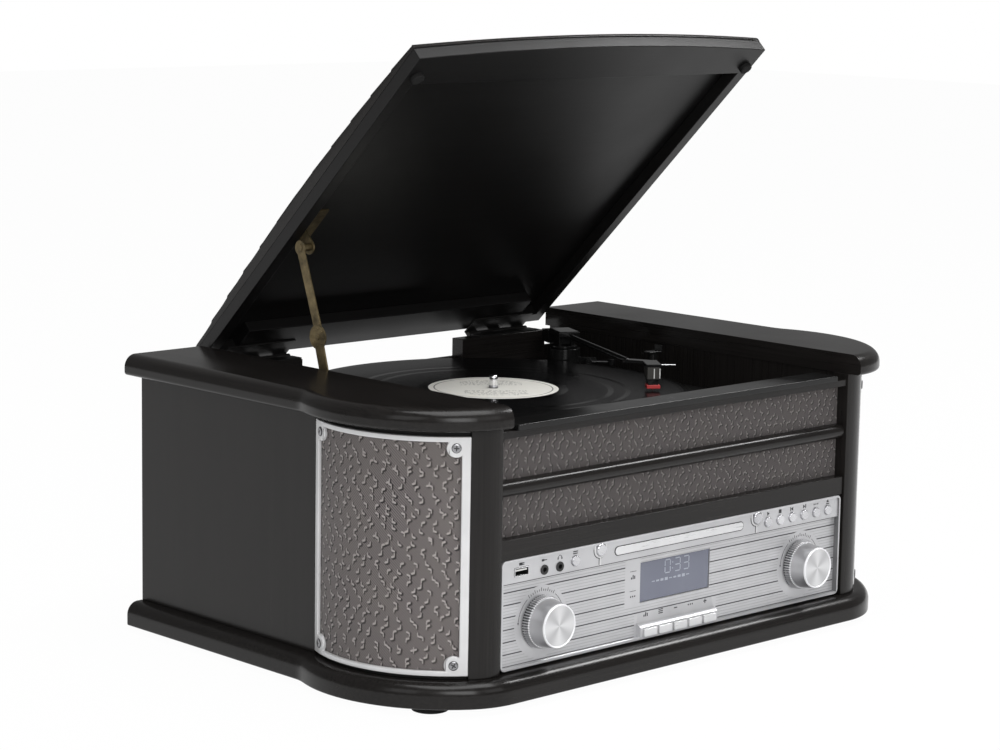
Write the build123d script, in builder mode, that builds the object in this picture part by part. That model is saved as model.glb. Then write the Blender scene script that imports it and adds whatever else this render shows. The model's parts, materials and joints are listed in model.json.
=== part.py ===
from build123d import *
import os
from math import atan2, cos, degrees, radians, sin, sqrt

os.makedirs("parts", exist_ok=True)

standing = (Align.CENTER, Align.CENTER, Align.MIN)
hanging = (Align.CENTER, Align.CENTER, Align.MAX)

# Stereo music centre: a wooden case with a turntable under a stayed lid.
# Frame: +X to the user's right, -Y towards the user, +Z up, Z = 0 under the feet,
# X = Y = 0 in the middle of the outer box with the lid open.
# Depths are measured forwards from the case's rear plane, see ahead().

# Case outline
well_half_width = 185.0
well_wall_thickness = 9.0
speaker_bay_width = 61.0
case_half_width = well_half_width + well_wall_thickness + speaker_bay_width
case_depth = 345.8
board_overhang = 1.5
board_front_setback = 1.6
bulge_inset = 29.2
bulge_setback = 100.0
bulge_x = well_half_width - bulge_inset
bulge_depth = case_depth - bulge_setback
bulge_radius = 107.5
hollow_radius = 30.0
front_blend_radius = 60.0

# Heights, stacked upwards from the feet
foot_height = 5.0
foot_radius = 13.0
foot_inset_x = 34.0
foot_inset_y = 42.0
plinth_thickness = 18.0
plinth_top_round = 9.5
plinth_bottom_round = 1.5
fascia_lift = 1.5
fascia_height = 78.1
fascia_gap = 0.4
lower_rail_height = 14.0
lower_window_height = 29.5
middle_rail_height = 11.0
upper_window_height = 30.5
top_rail_height = 5.0
bezel_thickness = 4.2
board_thickness = 15.5
board_top_round = 9.5
board_bottom_round = 3.0
deck_recess = 30.2
deck_thickness = 4.0

# Walls
side_inset = 14.0
side_thickness = 9.0
side_front_setback = 42.2
side_depth = bulge_depth - side_front_setback
board_inner_overhang = 0.7
rear_panel_inset = 0.5
rear_panel_thickness = 4.0
rear_panel_drop = 16.2
frame_thickness = 12.2
post_front_width = 1.7
post_back_depth = 318.1
post_front_depth = 333.2

# Speaker corners, concentric with the bulge
baffle_radius = 86.0
baffle_thickness = 6.0
cloth_thickness = 0.8
skin_gap = 0.1
grille_frame_thickness = 2.7
speaker_rear_angle = 24.8
speaker_front_angle = -57.6
grille_margin = 2.5
grille_top_margin = 5.2
grille_border = 3.7
grille_side_border = 6.3
ear_radius = 6.6
ear_side_inset = 10.2
ear_end_inset = 7.7
screw_head_radius = 3.4
screw_head_height = 1.1
screw_radius = 1.5
screw_length = 8.0
driver_radius = 36.0
driver_hole_radius = 33.0
driver_seat = 74.0
driver_flange = 2.0
driver_depth = 24.0
magnet_radius = 20.0
magnet_height = 10.0
driver_margin = 2.0
baffle_overlap = 4.0

# Front rails and cloth
rail_front_depth = 331.7
rail_end_gap = 2.0
rail_half_width = well_half_width - rail_end_gap
frame_front_depth = 322.5
front_cloth_thickness = 1.5
bezel_end_gap = 15.0
bezel_half_width = well_half_width - bezel_end_gap
bezel_front_depth = 334.0
bezel_edge_round = 0.6

# Control fascia
fascia_end_gap = 3.7
fascia_half_width = well_half_width - fascia_end_gap
fascia_round = 4.0
fascia_rim = 1.6
rim_front_depth = 331.7
strip_front_depth = 330.5
stripe_front_depth = 327.5
strip_height = 16.8
opening_end_margin = 11.3
opening_half_width = fascia_half_width - opening_end_margin
opening_margin = 3.6
opening_sill = 10.5
display_left = -38.7
display_right = 35.9
display_low = 26.2
display_high = 55.9
display_set_back = 0.7
fit_gap = 0.3
stud_x = 84.0
stud_drop = 5.1
stud_radius = 4.7
stud_height = 2.6
stud_round = 1.2
board_end_gap = 2.0
board_half_width = opening_half_width - board_end_gap
board_depth_gap = 3.9
circuit_thickness = 1.6
boss_radius = 3.0

# Knobs
knob_x = 138.9
knob_height = 29.0
knob_skirt_radius = 19.2
knob_skirt_height = 2.4
knob_face_radius = 14.6
knob_rim_radius = 15.8
knob_length = 18.7
knob_dish = 0.8
knob_bevel = 1.6
knob_gap = 0.5
shaft_radius = 3.0
shaft_depth = 307.0
running_gap = 0.05
pot_radius = 9.0
pot_length = 12.0
bushing_radius = 4.5

# Keys and buttons
key_count = 5
key_pitch = 16.0
key_width = 13.4
key_height = 6.0
key_centre_height = 4.7
key_front_depth = 333.5
key_length = 9.4
key_travel = 1.0
key_round = 0.5
housing_half_width = 41.5
housing_top = 11.5
housing_slope = 2.8
housing_front_depth = 331.9
button_radius = 3.7
button_length = 8.8
button_proud = 1.9
button_travel = 1.0
button_gap = 0.25
button_round = 0.6
disc_button_count = 6
disc_button_first_x = 97.0
disc_button_pitch = 14.0
disc_button_height = 68.0
function_button_x = -109.0
function_button_height = 68.4
switch_radius = 1.8

# Front sockets
usb_x = -161.5
usb_height = 68.5
usb_width = 14.0
usb_tall = 6.4
usb_wall = 0.75
usb_tongue = 1.9
socket_proud = 0.4
jack_positions = (-139.5, -124.3)
jack_height = 66.5
jack_radius = 3.5
jack_bore_radius = 1.8
jack_bore_length = 11.0

# Disc drawer
tray_height = 69.2
tray_half_width = 68.7
tray_front_height = 6.0
tray_front_proud = 0.7
tray_front_length = 7.0
tray_body_half_width = 65.0
tray_body_height = 4.4
tray_back_depth = 185.0
tray_travel = 125.0
disc_radius = 60.8
disc_recess = 1.6
laser_slot_half_width = 17.0
guide_wall = 5.0
guide_ledge = 5.0
guide_back_depth = 150.0
guide_front_depth = 321.0
guide_body_depth = 296.0
guide_rise = 27.2
guide_top_margin = 2.0
chassis_thickness = 3.0
chassis_leg_radius = 5.0
chassis_leg_inset = 20.0
chassis_leg_margin = 10.0
hub_radius = 14.0

# Turntable
spindle_x = -21.5
spindle_depth = 152.5
spindle_radius = 3.57
spindle_stub = 10.6
spindle_tip_round = 1.2
spindle_shaft_radius = 3.3
spindle_shaft_rise = 0.4
record_radius = 150.0
record_thickness = 1.6
record_edge_round = 0.5
mat_radius = 146.0
mat_thickness = 2.4
platter_radius = 145.0
platter_thickness = 4.0
platter_rim = 4.0
platter_hub_radius = 12.0
platter_lift = 12.8
belt_rim_radius = 88.0
belt_rim_wall = 3.0
bearing_radius = 9.0
bearing_depth = 14.0
thrust_gap = 0.3
motor_distance = 108.0
motor_bearing = 135.0
motor_radius = 17.0
motor_length = 25.0
motor_shaft_radius = 1.0
motor_hole_radius = 3.0
pulley_radius = 5.5
pulley_height = 6.0
belt_thickness = 0.7
belt_height = 4.0
belt_gap = 0.3

# Tonearm
arm_x = 128.0
arm_depth = 79.0
arm_base_radius = 13.5
arm_base_height = 25.5
arm_pin_radius = 3.0
arm_pin_length = 12.0
arm_angle = 25.1
arm_length = 141.4
arm_tube_radius = 2.3
arm_tube_rise = 10.5
lift_axis_rise = 6.5
lift_pin_radius = 1.0
cheek_gap = 4.0
cheek_thickness = 2.5
cheek_length = 12.0
cheek_height = 7.2
yoke_radius = 11.0
yoke_disc = 2.0
cap_width = 18.0
cap_length = 26.0
cap_rise = 10.0
cap_height = 4.4
cap_round = 1.2
pivot_block_height = 7.0
pivot_block_length = 10.0
weight_offset = 30.0
weight_width = 12.0
weight_length = 16.0
weight_height = 10.0
head_x = 71.5
head_depth = 230.5
head_angle = 37.0
head_width = 11.5
head_length = 22.0
head_thickness = 2.4
neck_overlap = 3.0
neck_width = 7.0
cartridge_width = 9.8
cartridge_length = 16.0
cartridge_height = 9.0
stylus_body_width = 7.5
stylus_body_length = 14.0
stylus_body_lift = 3.4
guard_width = 10.4
guard_height = 2.4
guard_length = 9.0
guard_lift = 2.0
guard_nose = 0.5
stylus_radius = 0.5
stylus_gap = 0.3
finger_length = 13.0
finger_width = 2.4
finger_thickness = 1.0
finger_root = 1.0
rest_angle = 28.5
rest_reach = 94.8
rest_radius = 4.0
rest_cradle_width = 13.0
rest_gap = 0.5
rest_ear_height = 5.0
lever_bearing = 47.0
lever_reach = 22.0
lever_radius = 1.4
lever_height = 14.0
lever_knob_radius = 3.0
lever_knob_height = 5.0
lever_pin_radius = 1.0
lug_width = 6.0
lug_length = 7.0

# Speed selector, a slide in a slot of the deck
selector_x = 158.0
selector_depth = 262.0
selector_travel = 5.0
selector_width = 7.0
selector_length = 10.0
selector_height = 7.0
selector_stem = 3.0
selector_flange = 1.5
selector_round = 1.0

# Lid, drawn closed and then swung open about the hinge axis
lid_side_gap = 4.0
lid_half_width = well_half_width - lid_side_gap
lid_depth = 343.8
lid_bow = 8.3
lid_rear_overhang = 1.06
lid_lift = 3.85
lid_rail_height = 9.5
lid_edge_thickness = 4.0
lid_arch = 6.7
lid_edge_round = 3.0
lid_side_rail = 10.7
lid_front_rail = 27.0
lid_rear_rail = 32.0
lid_rear_rail_left = -152.0
lid_rear_rail_right = 150.0
lid_open_angle = 44.4
bumper_side_inset = 9.0
bumper_x = lid_half_width - bumper_side_inset
bumper_inset = 19.0
bumper_radius = 5.0
bumper_height = 3.6
bumper_round = 1.0

# Hinges
hinge_behind = 2.5
hinge_drop = 0.9
hinge_x = 129.7
hinge_width = 67.0
knuckle_count = 5
knuckle_radius = 2.1
hinge_pin_radius = 0.9
leaf_thickness = 1.2
leaf_reach = 13.0
knuckle_gap = 0.3
hinge_block_drop = 1.2
hinge_block_front = 14.0
hinge_block_back = 1.0
right_block_inner = 75.0
right_block_outer = 170.0
left_block_inner = -96.0
left_block_outer = -164.0

# Lid stay: two flat links in one plane beside the left well wall
stay_wall_gap = 7.0
stay_x = stay_wall_gap - well_half_width
stay_plate = 1.2
stay_side_gap = 0.6
stay_lid_depth = 148.7
stay_lid_drop = 10.6
stay_base_depth = 150.8
stay_base_height = 6.0
lower_link_length = 64.3
stay_slack = 0.05
upper_link_width = 8.0
lower_link_width = 9.5
link_end_radius = 5.5
elbow_radius = 6.0
disc_plate_radius = 9.0
rivet_radius = 0.8
rivet_ring_radius = 6.3
rivet_height = 0.4
rivet_count = 8
centre_rivet_radius = 2.0
centre_rivet_height = 0.8
stay_pin_radius = 1.5
stay_pin_head_radius = 2.8
stay_pin_head = 0.4
axial_gap = 0.1
bracket_width = 20.0
bracket_length = 36.0
bracket_plate = 1.5
base_plate_thickness = 1.6
base_plate_length = 22.0

# Rear terminals
terminal_x = 120.0
terminal_height = 48.0
terminal_width = 110.0
terminal_tall = 46.0
terminal_plate = 1.5
terminal_margin = 3.0
rca_edge = 13.5
rca_pitch = 18.0
rca_radius = 4.1
rca_flange_radius = 5.6
rca_flange = 1.2
rca_pin_hole_radius = 1.7
rca_length = 9.0
mains_x = 38.0
mains_width = 16.5
mains_tall = 10.5
mains_depth = 12.0
mains_wall = 1.8
mains_flange = 2.0
mains_flange_thickness = 1.2
mains_pin_radius = 1.15
mains_pin_pitch = 8.6

# Worked-out heights
plinth_top = foot_height + plinth_thickness
fascia_bottom = plinth_top + fascia_lift
fascia_top = fascia_bottom + fascia_height
lower_rail_bottom = fascia_top + fascia_gap
lower_window_bottom = lower_rail_bottom + lower_rail_height
middle_rail_bottom = lower_window_bottom + lower_window_height
upper_window_bottom = middle_rail_bottom + middle_rail_height
top_rail_bottom = upper_window_bottom + upper_window_height
bezel_bottom = top_rail_bottom + top_rail_height
wall_top = bezel_bottom + bezel_thickness
deck_top = wall_top - deck_recess
lid_bottom = wall_top + lid_lift
lid_ceiling = lid_bottom + lid_rail_height
hinge_axis_z = wall_top - hinge_drop
record_top = deck_top + platter_lift + mat_thickness + record_thickness
strip_bottom = fascia_top - strip_height

# Reach of the part behind the rear plane (open lid) and in front of it (knob faces)
edge_back = lid_rear_overhang - hinge_behind - lid_edge_round
edge_up = lid_ceiling + lid_edge_thickness - hinge_axis_z - lid_edge_round
open_rad = radians(lid_open_angle)
reach_behind = hinge_behind + edge_back * cos(open_rad) + edge_up * sin(open_rad) + lid_edge_round
knob_back_depth = stripe_front_depth + knob_gap
knob_front_depth = knob_back_depth + knob_length
reach_ahead = max(knob_front_depth, case_depth)
rear_plane_y = (reach_ahead - reach_behind) / 2


def ahead(depth):
    """Y of a point that lies a depth in front of the case's rear plane."""
    return rear_plane_y - depth


def front_plane(depth):
    """Plane facing the user at a depth; local axes are X and Z."""
    return Plane.XZ.offset(depth - rear_plane_y)


def side_plane(x):
    """Plane across X; local axes are Y and Z."""
    return Plane.YZ.offset(x)


def save(shape, name):
    shape.label = name
    export_step(shape, f"parts/{name}.step")


def box_between(low, high, mode=Mode.ADD):
    """Box from (x, depth, z) to (x, depth, z)."""
    size = [abs(high[i] - low[i]) for i in range(3)]
    middle = [(high[i] + low[i]) / 2 for i in range(3)]
    with Locations((middle[0], ahead(middle[1]), middle[2])):
        Box(*size, mode=mode)


def upright(x, depth, low, high, radius, mode=Mode.ADD):
    """Cylinder on a vertical axis between two heights."""
    with Locations((x, ahead(depth), low)):
        Cylinder(radius, high - low, align=standing, mode=mode)


def forward(x, z, back, front, radius, mode=Mode.ADD):
    """Cylinder on a fore-and-aft axis between two depths."""
    with Locations(front_plane(back).location * Location((x, z, 0))):
        Cylinder(radius, front - back, align=standing, mode=mode)


def across(left, right, y, z, radius, mode=Mode.ADD):
    """Cylinder on a left-to-right axis between two X values."""
    with Locations(side_plane(left).location * Location((y, z, 0))):
        Cylinder(radius, right - left, align=standing, mode=mode)


def on_circle(centre, towards, radius):
    """Point of a circle in the direction of another point."""
    length = sqrt((towards[0] - centre[0]) ** 2 + (towards[1] - centre[1]) ** 2)
    return tuple(centre[i] + (towards[i] - centre[i]) * radius / length for i in range(2))


def halfway(a, b):
    return ((a[0] + b[0]) / 2, (a[1] + b[1]) / 2)


def board_edge(half_width, radius, front):
    """Edges of one side of a board: straight side, hollow, bulge and front blend.

    Returns the first and the last point, drawn at X > 0."""
    bulge = (bulge_x, ahead(bulge_depth))
    hollow_x = half_width + hollow_radius
    hollow_rise = sqrt((radius + hollow_radius) ** 2 - (hollow_x - bulge_x) ** 2)
    hollow = (hollow_x, bulge[1] + hollow_rise)
    blend_y = ahead(front - front_blend_radius)
    blend_run = sqrt((radius - front_blend_radius) ** 2 - (bulge[1] - blend_y) ** 2)
    blend = (bulge_x + blend_run, blend_y)
    start = (half_width, ahead(0))
    hollow_start = (half_width, hollow[1])
    hollow_end = on_circle(bulge, hollow, radius)
    bulge_end = on_circle(bulge, blend, radius)
    blend_end = (blend[0], ahead(front))
    Line(start, hollow_start)
    hollow_mid = on_circle(hollow, halfway(hollow_start, hollow_end), hollow_radius)
    bulge_mid = on_circle(bulge, halfway(hollow_end, bulge_end), radius)
    blend_mid = on_circle(blend, halfway(bulge_end, blend_end), front_blend_radius)
    ThreePointArc(hollow_start, hollow_mid, hollow_end)
    ThreePointArc(hollow_end, bulge_mid, bulge_end)
    ThreePointArc(bulge_end, blend_mid, blend_end)
    return start, blend_end


def free_edges(face, inner_x=None):
    """Edges of a board's face that are rounded: not the rear one, and not the one at inner_x."""
    rear = ahead(0)
    chosen = [edge for edge in face.edges() if abs(edge.center().Y - rear) > 0.01]
    if inner_x is not None:
        chosen = [edge for edge in chosen if abs(edge.center().X - inner_x) > 0.01]
    return chosen


def ring_sector(inner, outer, start, end):
    """Sector of a ring about the bulge's centre, between two angles from +X."""
    centre = (bulge_x, ahead(bulge_depth))
    with BuildLine() as outline:
        far = CenterArc(centre, outer, start, end - start)
        near = CenterArc(centre, inner, start, end - start)
        Line(far @ 0, near @ 0)
        Line(far @ 1, near @ 1)
    make_face(outline.edges())


def radial_plane(angle, radius, z):
    """Plane facing outwards on a circle about the bulge's centre."""
    turn = radians(angle)
    direction = (cos(turn), sin(turn), 0)
    origin = (bulge_x + radius * direction[0], ahead(bulge_depth) + radius * direction[1], z)
    return Plane(origin=origin, x_dir=(-direction[1], direction[0], 0), z_dir=direction)


def both_sides(name, shape):
    save(shape, f"{name}_right")
    save(mirror(shape, about=Plane.YZ), f"{name}_left")


# ---------------------------------------------------------------- Case boards

with BuildPart() as plinth:
    with BuildSketch(Plane.XY.offset(foot_height)):
        with BuildLine():
            rear_corner, front_tangent = board_edge(case_half_width, bulge_radius, case_depth)
            Line(front_tangent, (0, ahead(case_depth)))
            Line((0, ahead(case_depth)), (0, ahead(0)))
            Line((0, ahead(0)), rear_corner)
        make_face()
        mirror(about=Plane.YZ)
    extrude(amount=plinth_thickness)
    fillet(free_edges(plinth.faces().sort_by(Axis.Z)[-1]), plinth_top_round)
    fillet(free_edges(plinth.faces().sort_by(Axis.Z)[0]), plinth_bottom_round)
save(plinth.part, "plinth")

with BuildPart() as feet:
    for side in (-1, 1):
        for depth in (foot_inset_y, case_depth - foot_inset_y):
            upright(side * (case_half_width - foot_inset_x), depth, 0, foot_height, foot_radius)
save(feet.part, "feet")

side_outer_x = case_half_width - side_inset
side_inner_x = side_outer_x - side_thickness
with BuildPart() as side_panel:
    box_between((side_inner_x, 0, plinth_top), (side_outer_x, side_depth, wall_top))
both_sides("side_panel", side_panel.part)

well_outer = well_half_width + well_wall_thickness
rear_panel_front = rear_panel_inset + rear_panel_thickness
frame_back_depth = frame_front_depth - frame_thickness
with BuildPart() as inner_walls:
    for side in (-1, 1):
        box_between(
            (side * well_half_width, rear_panel_front, plinth_top),
            (side * well_outer, post_back_depth, wall_top),
        )
save(inner_walls.part, "inner_walls")

baffle_outer = baffle_radius + baffle_thickness
cloth_inner = baffle_outer + skin_gap
cloth_outer = cloth_inner + cloth_thickness
grille_inner = cloth_outer + skin_gap
grille_outer = grille_inner + grille_frame_thickness
post_turn = radians(speaker_front_angle)


def speaker_point(radius):
    """Point of the speaker's front end plane at a radius."""
    return (bulge_x + radius * cos(post_turn), ahead(bulge_depth) + radius * sin(post_turn))


with BuildPart() as front_posts:
    with BuildSketch(Plane.XY.offset(plinth_top)):
        with BuildLine():
            nose = (well_half_width - post_front_width, ahead(post_front_depth))
            heel = (well_half_width - post_front_width, ahead(post_back_depth))
            chord_mid = halfway(nose, speaker_point(grille_outer))
            ridge = on_circle((bulge_x, ahead(bulge_depth)), chord_mid, grille_outer)
            Line(heel, nose)
            ThreePointArc(nose, ridge, speaker_point(grille_outer))
            Line(speaker_point(grille_outer), speaker_point(baffle_radius))
            Line(speaker_point(baffle_radius), (speaker_point(baffle_radius)[0], ahead(post_back_depth)))
            Line((speaker_point(baffle_radius)[0], ahead(post_back_depth)), heel)
        make_face()
    extrude(amount=wall_top - plinth_top)
    mirror(about=Plane.YZ)
save(front_posts.part, "front_posts")

board_inner_x = well_half_width - board_inner_overhang
board_front = case_depth - board_front_setback
with BuildPart() as top_board:
    with BuildSketch(Plane.XY.offset(wall_top)):
        with BuildLine():
            rear_corner, front_tangent = board_edge(
                case_half_width + board_overhang, bulge_radius + board_overhang, board_front
            )
            Line(front_tangent, (board_inner_x, ahead(board_front)))
            Line((board_inner_x, ahead(board_front)), (board_inner_x, ahead(0)))
            Line((board_inner_x, ahead(0)), rear_corner)
        make_face()
    extrude(amount=board_thickness)
    fillet(free_edges(top_board.faces().sort_by(Axis.Z)[-1], board_inner_x), board_top_round)
    fillet(free_edges(top_board.faces().sort_by(Axis.Z)[0], board_inner_x), board_bottom_round)
both_sides("top_board", top_board.part)

# ---------------------------------------------------------------- Rear panel

rear_panel_top = wall_top - rear_panel_drop
hinge_block_top = hinge_axis_z + knuckle_radius - leaf_thickness - hinge_block_drop
terminal_low = plinth_top + terminal_height - terminal_tall / 2
terminal_high = terminal_low + terminal_tall
terminal_left = terminal_x - terminal_width / 2
terminal_right = terminal_x + terminal_width / 2
with BuildPart() as rear_panel:
    box_between(
        (-side_inner_x, rear_panel_inset, plinth_top),
        (side_inner_x, rear_panel_front, rear_panel_top),
    )
    for low_x, high_x in ((right_block_inner, right_block_outer), (left_block_outer, left_block_inner)):
        box_between(
            (low_x, rear_panel_front, deck_top),
            (high_x, hinge_block_front, hinge_block_top),
        )
        box_between(
            (low_x, hinge_block_back, rear_panel_top),
            (high_x, hinge_block_front, hinge_block_top),
        )
    box_between(
        (terminal_left + terminal_margin, 0, terminal_low + terminal_margin),
        (terminal_right - terminal_margin, rear_panel_front, terminal_high - terminal_margin),
        mode=Mode.SUBTRACT,
    )
save(rear_panel.part, "rear_panel")

terminal_z = plinth_top + terminal_height
terminal_back = rear_panel_inset - terminal_plate
mains_at = terminal_x - mains_x
with BuildPart() as terminal_sheet:
    box_between(
        (terminal_left, terminal_back, terminal_low),
        (terminal_right, rear_panel_inset, terminal_high),
    )
    box_between(
        (mains_at - mains_width / 2, terminal_back, terminal_z - mains_tall / 2),
        (mains_at + mains_width / 2, rear_panel_inset, terminal_z + mains_tall / 2),
        mode=Mode.SUBTRACT,
    )

mains_mouth = terminal_back - mains_flange_thickness
flange_half = mains_width / 2 + mains_flange
flange_rise = mains_tall / 2 + mains_flange
with BuildPart() as mains_socket:
    box_between(
        (mains_at - flange_half, mains_mouth, terminal_z - flange_rise),
        (mains_at + flange_half, terminal_back, terminal_z + flange_rise),
    )
    box_between(
        (mains_at - mains_width / 2, terminal_back, terminal_z - mains_tall / 2),
        (mains_at + mains_width / 2, mains_depth, terminal_z + mains_tall / 2),
    )
    mains_bore_half = mains_width / 2 - mains_wall
    mains_bore_rise = mains_tall / 2 - mains_wall
    box_between(
        (mains_at - mains_bore_half, mains_mouth, terminal_z - mains_bore_rise),
        (mains_at + mains_bore_half, mains_depth - mains_wall, terminal_z + mains_bore_rise),
        mode=Mode.SUBTRACT,
    )
    for side in (-1, 1):
        pin_x = mains_at + side * mains_pin_pitch / 2
        forward(pin_x, terminal_z, terminal_back, mains_depth - mains_wall, mains_pin_radius)

rca_places = [
    (terminal_right - rca_edge - column * rca_pitch, terminal_z + row * rca_pitch / 2)
    for column in (0, 1)
    for row in (-1, 1)
]
rca_mouth = terminal_back - rca_length
with BuildPart() as line_sockets:
    for x, z in rca_places:
        forward(x, z, rca_mouth, terminal_back, rca_radius)
        forward(x, z, terminal_back - rca_flange, terminal_back, rca_flange_radius)
        forward(x, z, rca_mouth, terminal_back, rca_pin_hole_radius, mode=Mode.SUBTRACT)
terminal_parts = (terminal_sheet.part, mains_socket.part, line_sockets.part)
save(Compound([solid for part in terminal_parts for solid in part.solids()]), "terminal_plate")

# ---------------------------------------------------------------- Speakers

driver_angle = (speaker_rear_angle + speaker_front_angle) / 2
speaker_mid_z = (plinth_top + wall_top) / 2
with BuildPart() as baffle:
    with BuildSketch(Plane.XY.offset(plinth_top)):
        ring_sector(baffle_radius, baffle_outer, speaker_rear_angle + baffle_overlap, speaker_front_angle)
    extrude(amount=wall_top - plinth_top)
    box_between((0, 0, plinth_top), (case_half_width, side_depth, wall_top), mode=Mode.SUBTRACT)
    with Locations(radial_plane(driver_angle, driver_seat, speaker_mid_z).location):
        Box(
            2 * (driver_radius + driver_margin),
            2 * (driver_radius + driver_margin),
            baffle_radius + skin_gap - driver_seat,
            align=standing,
        )
    with BuildSketch(Plane.XY.offset(plinth_top)):
        with Locations((bulge_x, ahead(bulge_depth))):
            Circle(baffle_outer)
    extrude(amount=wall_top - plinth_top, mode=Mode.INTERSECT)
    with Locations(radial_plane(driver_angle, driver_seat, speaker_mid_z).location):
        Cylinder(driver_hole_radius, 2 * baffle_thickness + baffle_radius, mode=Mode.SUBTRACT)
    grille_low = plinth_top + grille_margin
    grille_high = wall_top - grille_top_margin
    ear_turn = degrees(ear_side_inset / grille_outer)
    screw_angles = (speaker_rear_angle - ear_turn, speaker_front_angle + ear_turn)
    screw_heights = (grille_low + ear_end_inset, grille_high - ear_end_inset)
    screw_places = [(turn, z) for turn in screw_angles for z in screw_heights]
    for turn, z in screw_places:
        with Locations(radial_plane(turn, grille_outer - screw_length, z).location):
            Cylinder(screw_radius, screw_length, align=standing, mode=Mode.SUBTRACT)
baffles = Compound([*baffle.part.solids(), *mirror(baffle.part, about=Plane.YZ).solids()])
save(baffles, "speaker_baffles")

with BuildPart() as driver:
    with BuildSketch(Plane.XZ):
        with BuildLine():
            Polyline(
                (0, driver_depth),
                (magnet_radius, driver_depth),
                (magnet_radius, driver_depth - magnet_height),
                (driver_hole_radius - driver_flange, driver_flange),
                (driver_radius, driver_flange),
                (driver_radius, 0),
                (driver_hole_radius - driver_flange, 0),
                (magnet_radius / 2, driver_depth - magnet_height - driver_flange),
                (0, driver_depth - magnet_height - driver_flange * 2),
                close=True,
            )
        make_face()
    revolve(axis=Axis.Z)
driver_place = radial_plane(driver_angle, driver_seat, speaker_mid_z)
driver_right = driver_place.location * Rot(X=180) * driver.part
drivers = Compound([*driver_right.solids(), *mirror(driver_right, about=Plane.YZ).solids()])
save(drivers, "speaker_drivers")

with BuildPart() as grille_cloth:
    with BuildSketch(Plane.XY.offset(grille_low)):
        ring_sector(cloth_inner, cloth_outer, speaker_rear_angle, speaker_front_angle)
    extrude(amount=grille_high - grille_low)
    for turn, z in screw_places:
        with Locations(radial_plane(turn, baffle_radius, z).location):
            Cylinder(screw_radius, grille_outer, align=standing, mode=Mode.SUBTRACT)
cloths = Compound([*grille_cloth.part.solids(), *mirror(grille_cloth.part, about=Plane.YZ).solids()])
save(cloths, "grille_cloths")

side_turn = degrees(grille_side_border / grille_outer)
with BuildPart() as grille_window:
    with BuildSketch(Plane.XY.offset(grille_low + grille_border)):
        window_start = speaker_rear_angle - side_turn
        ring_sector(baffle_outer, bulge_radius, window_start, speaker_front_angle + side_turn)
    extrude(amount=grille_high - grille_low - 2 * grille_border)
    for turn, z in screw_places:
        with Locations(radial_plane(turn, baffle_radius, z).location):
            Cylinder(ear_radius, grille_outer, align=standing, mode=Mode.SUBTRACT)

with BuildPart() as grille_frame:
    with BuildSketch(Plane.XY.offset(grille_low)):
        ring_sector(grille_inner, grille_outer, speaker_rear_angle, speaker_front_angle)
    extrude(amount=grille_high - grille_low)
    add(grille_window.part, mode=Mode.SUBTRACT)
    for turn, z in screw_places:
        with Locations(radial_plane(turn, baffle_radius, z).location):
            Cylinder(screw_radius, grille_outer, align=standing, mode=Mode.SUBTRACT)
frames = Compound([*grille_frame.part.solids(), *mirror(grille_frame.part, about=Plane.YZ).solids()])
save(frames, "grille_frames")

with BuildPart() as grille_screw_set:
    for turn, z in screw_places:
        with Locations(radial_plane(turn, grille_outer - screw_length, z).location):
            Cylinder(screw_radius, screw_length, align=standing)
        with Locations(radial_plane(turn, grille_outer, z).location):
            Cylinder(screw_head_radius, screw_head_height, align=standing)
    mirror(about=Plane.YZ)
save(grille_screw_set.part, "grille_screws")

# ---------------------------------------------------------------- Front frame, cloth and bezel

opening_low = fascia_bottom + opening_sill
opening_high = fascia_top - opening_margin
with BuildPart() as front_frame:
    box_between(
        (-well_half_width, frame_back_depth, plinth_top),
        (well_half_width, post_back_depth, bezel_bottom),
    )
    box_between(
        (-rail_half_width, post_back_depth, plinth_top),
        (rail_half_width, frame_front_depth, bezel_bottom),
    )
    for low, height in ((lower_rail_bottom, lower_rail_height), (top_rail_bottom, top_rail_height)):
        box_between(
            (-rail_half_width, frame_front_depth, low),
            (rail_half_width, rail_front_depth, low + height),
        )
    nose_depth = rail_front_depth - middle_rail_height / 2
    middle_z = middle_rail_bottom + middle_rail_height / 2
    box_between(
        (-rail_half_width, frame_front_depth, middle_rail_bottom),
        (rail_half_width, nose_depth, upper_window_bottom),
    )
    across(-rail_half_width, rail_half_width, ahead(nose_depth), middle_z, middle_rail_height / 2)
    box_between(
        (-opening_half_width, frame_back_depth, opening_low),
        (opening_half_width, frame_front_depth, opening_high),
        mode=Mode.SUBTRACT,
    )
save(front_frame.part, "front_frame")

with BuildPart() as front_cloths:
    for low, high in ((lower_window_bottom, middle_rail_bottom), (upper_window_bottom, top_rail_bottom)):
        box_between(
            (-rail_half_width, frame_front_depth, low),
            (rail_half_width, frame_front_depth + front_cloth_thickness, high),
        )
save(front_cloths.part, "front_cloths")

with BuildPart() as bezel_plate:
    box_between(
        (-bezel_half_width, frame_back_depth, bezel_bottom),
        (bezel_half_width, bezel_front_depth, wall_top),
    )
    fillet(bezel_plate.edges().filter_by(Axis.X).group_by(Axis.Y)[0], bezel_edge_round)
save(bezel_plate.part, "bezel_plate")

# ---------------------------------------------------------------- Fascia

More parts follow.
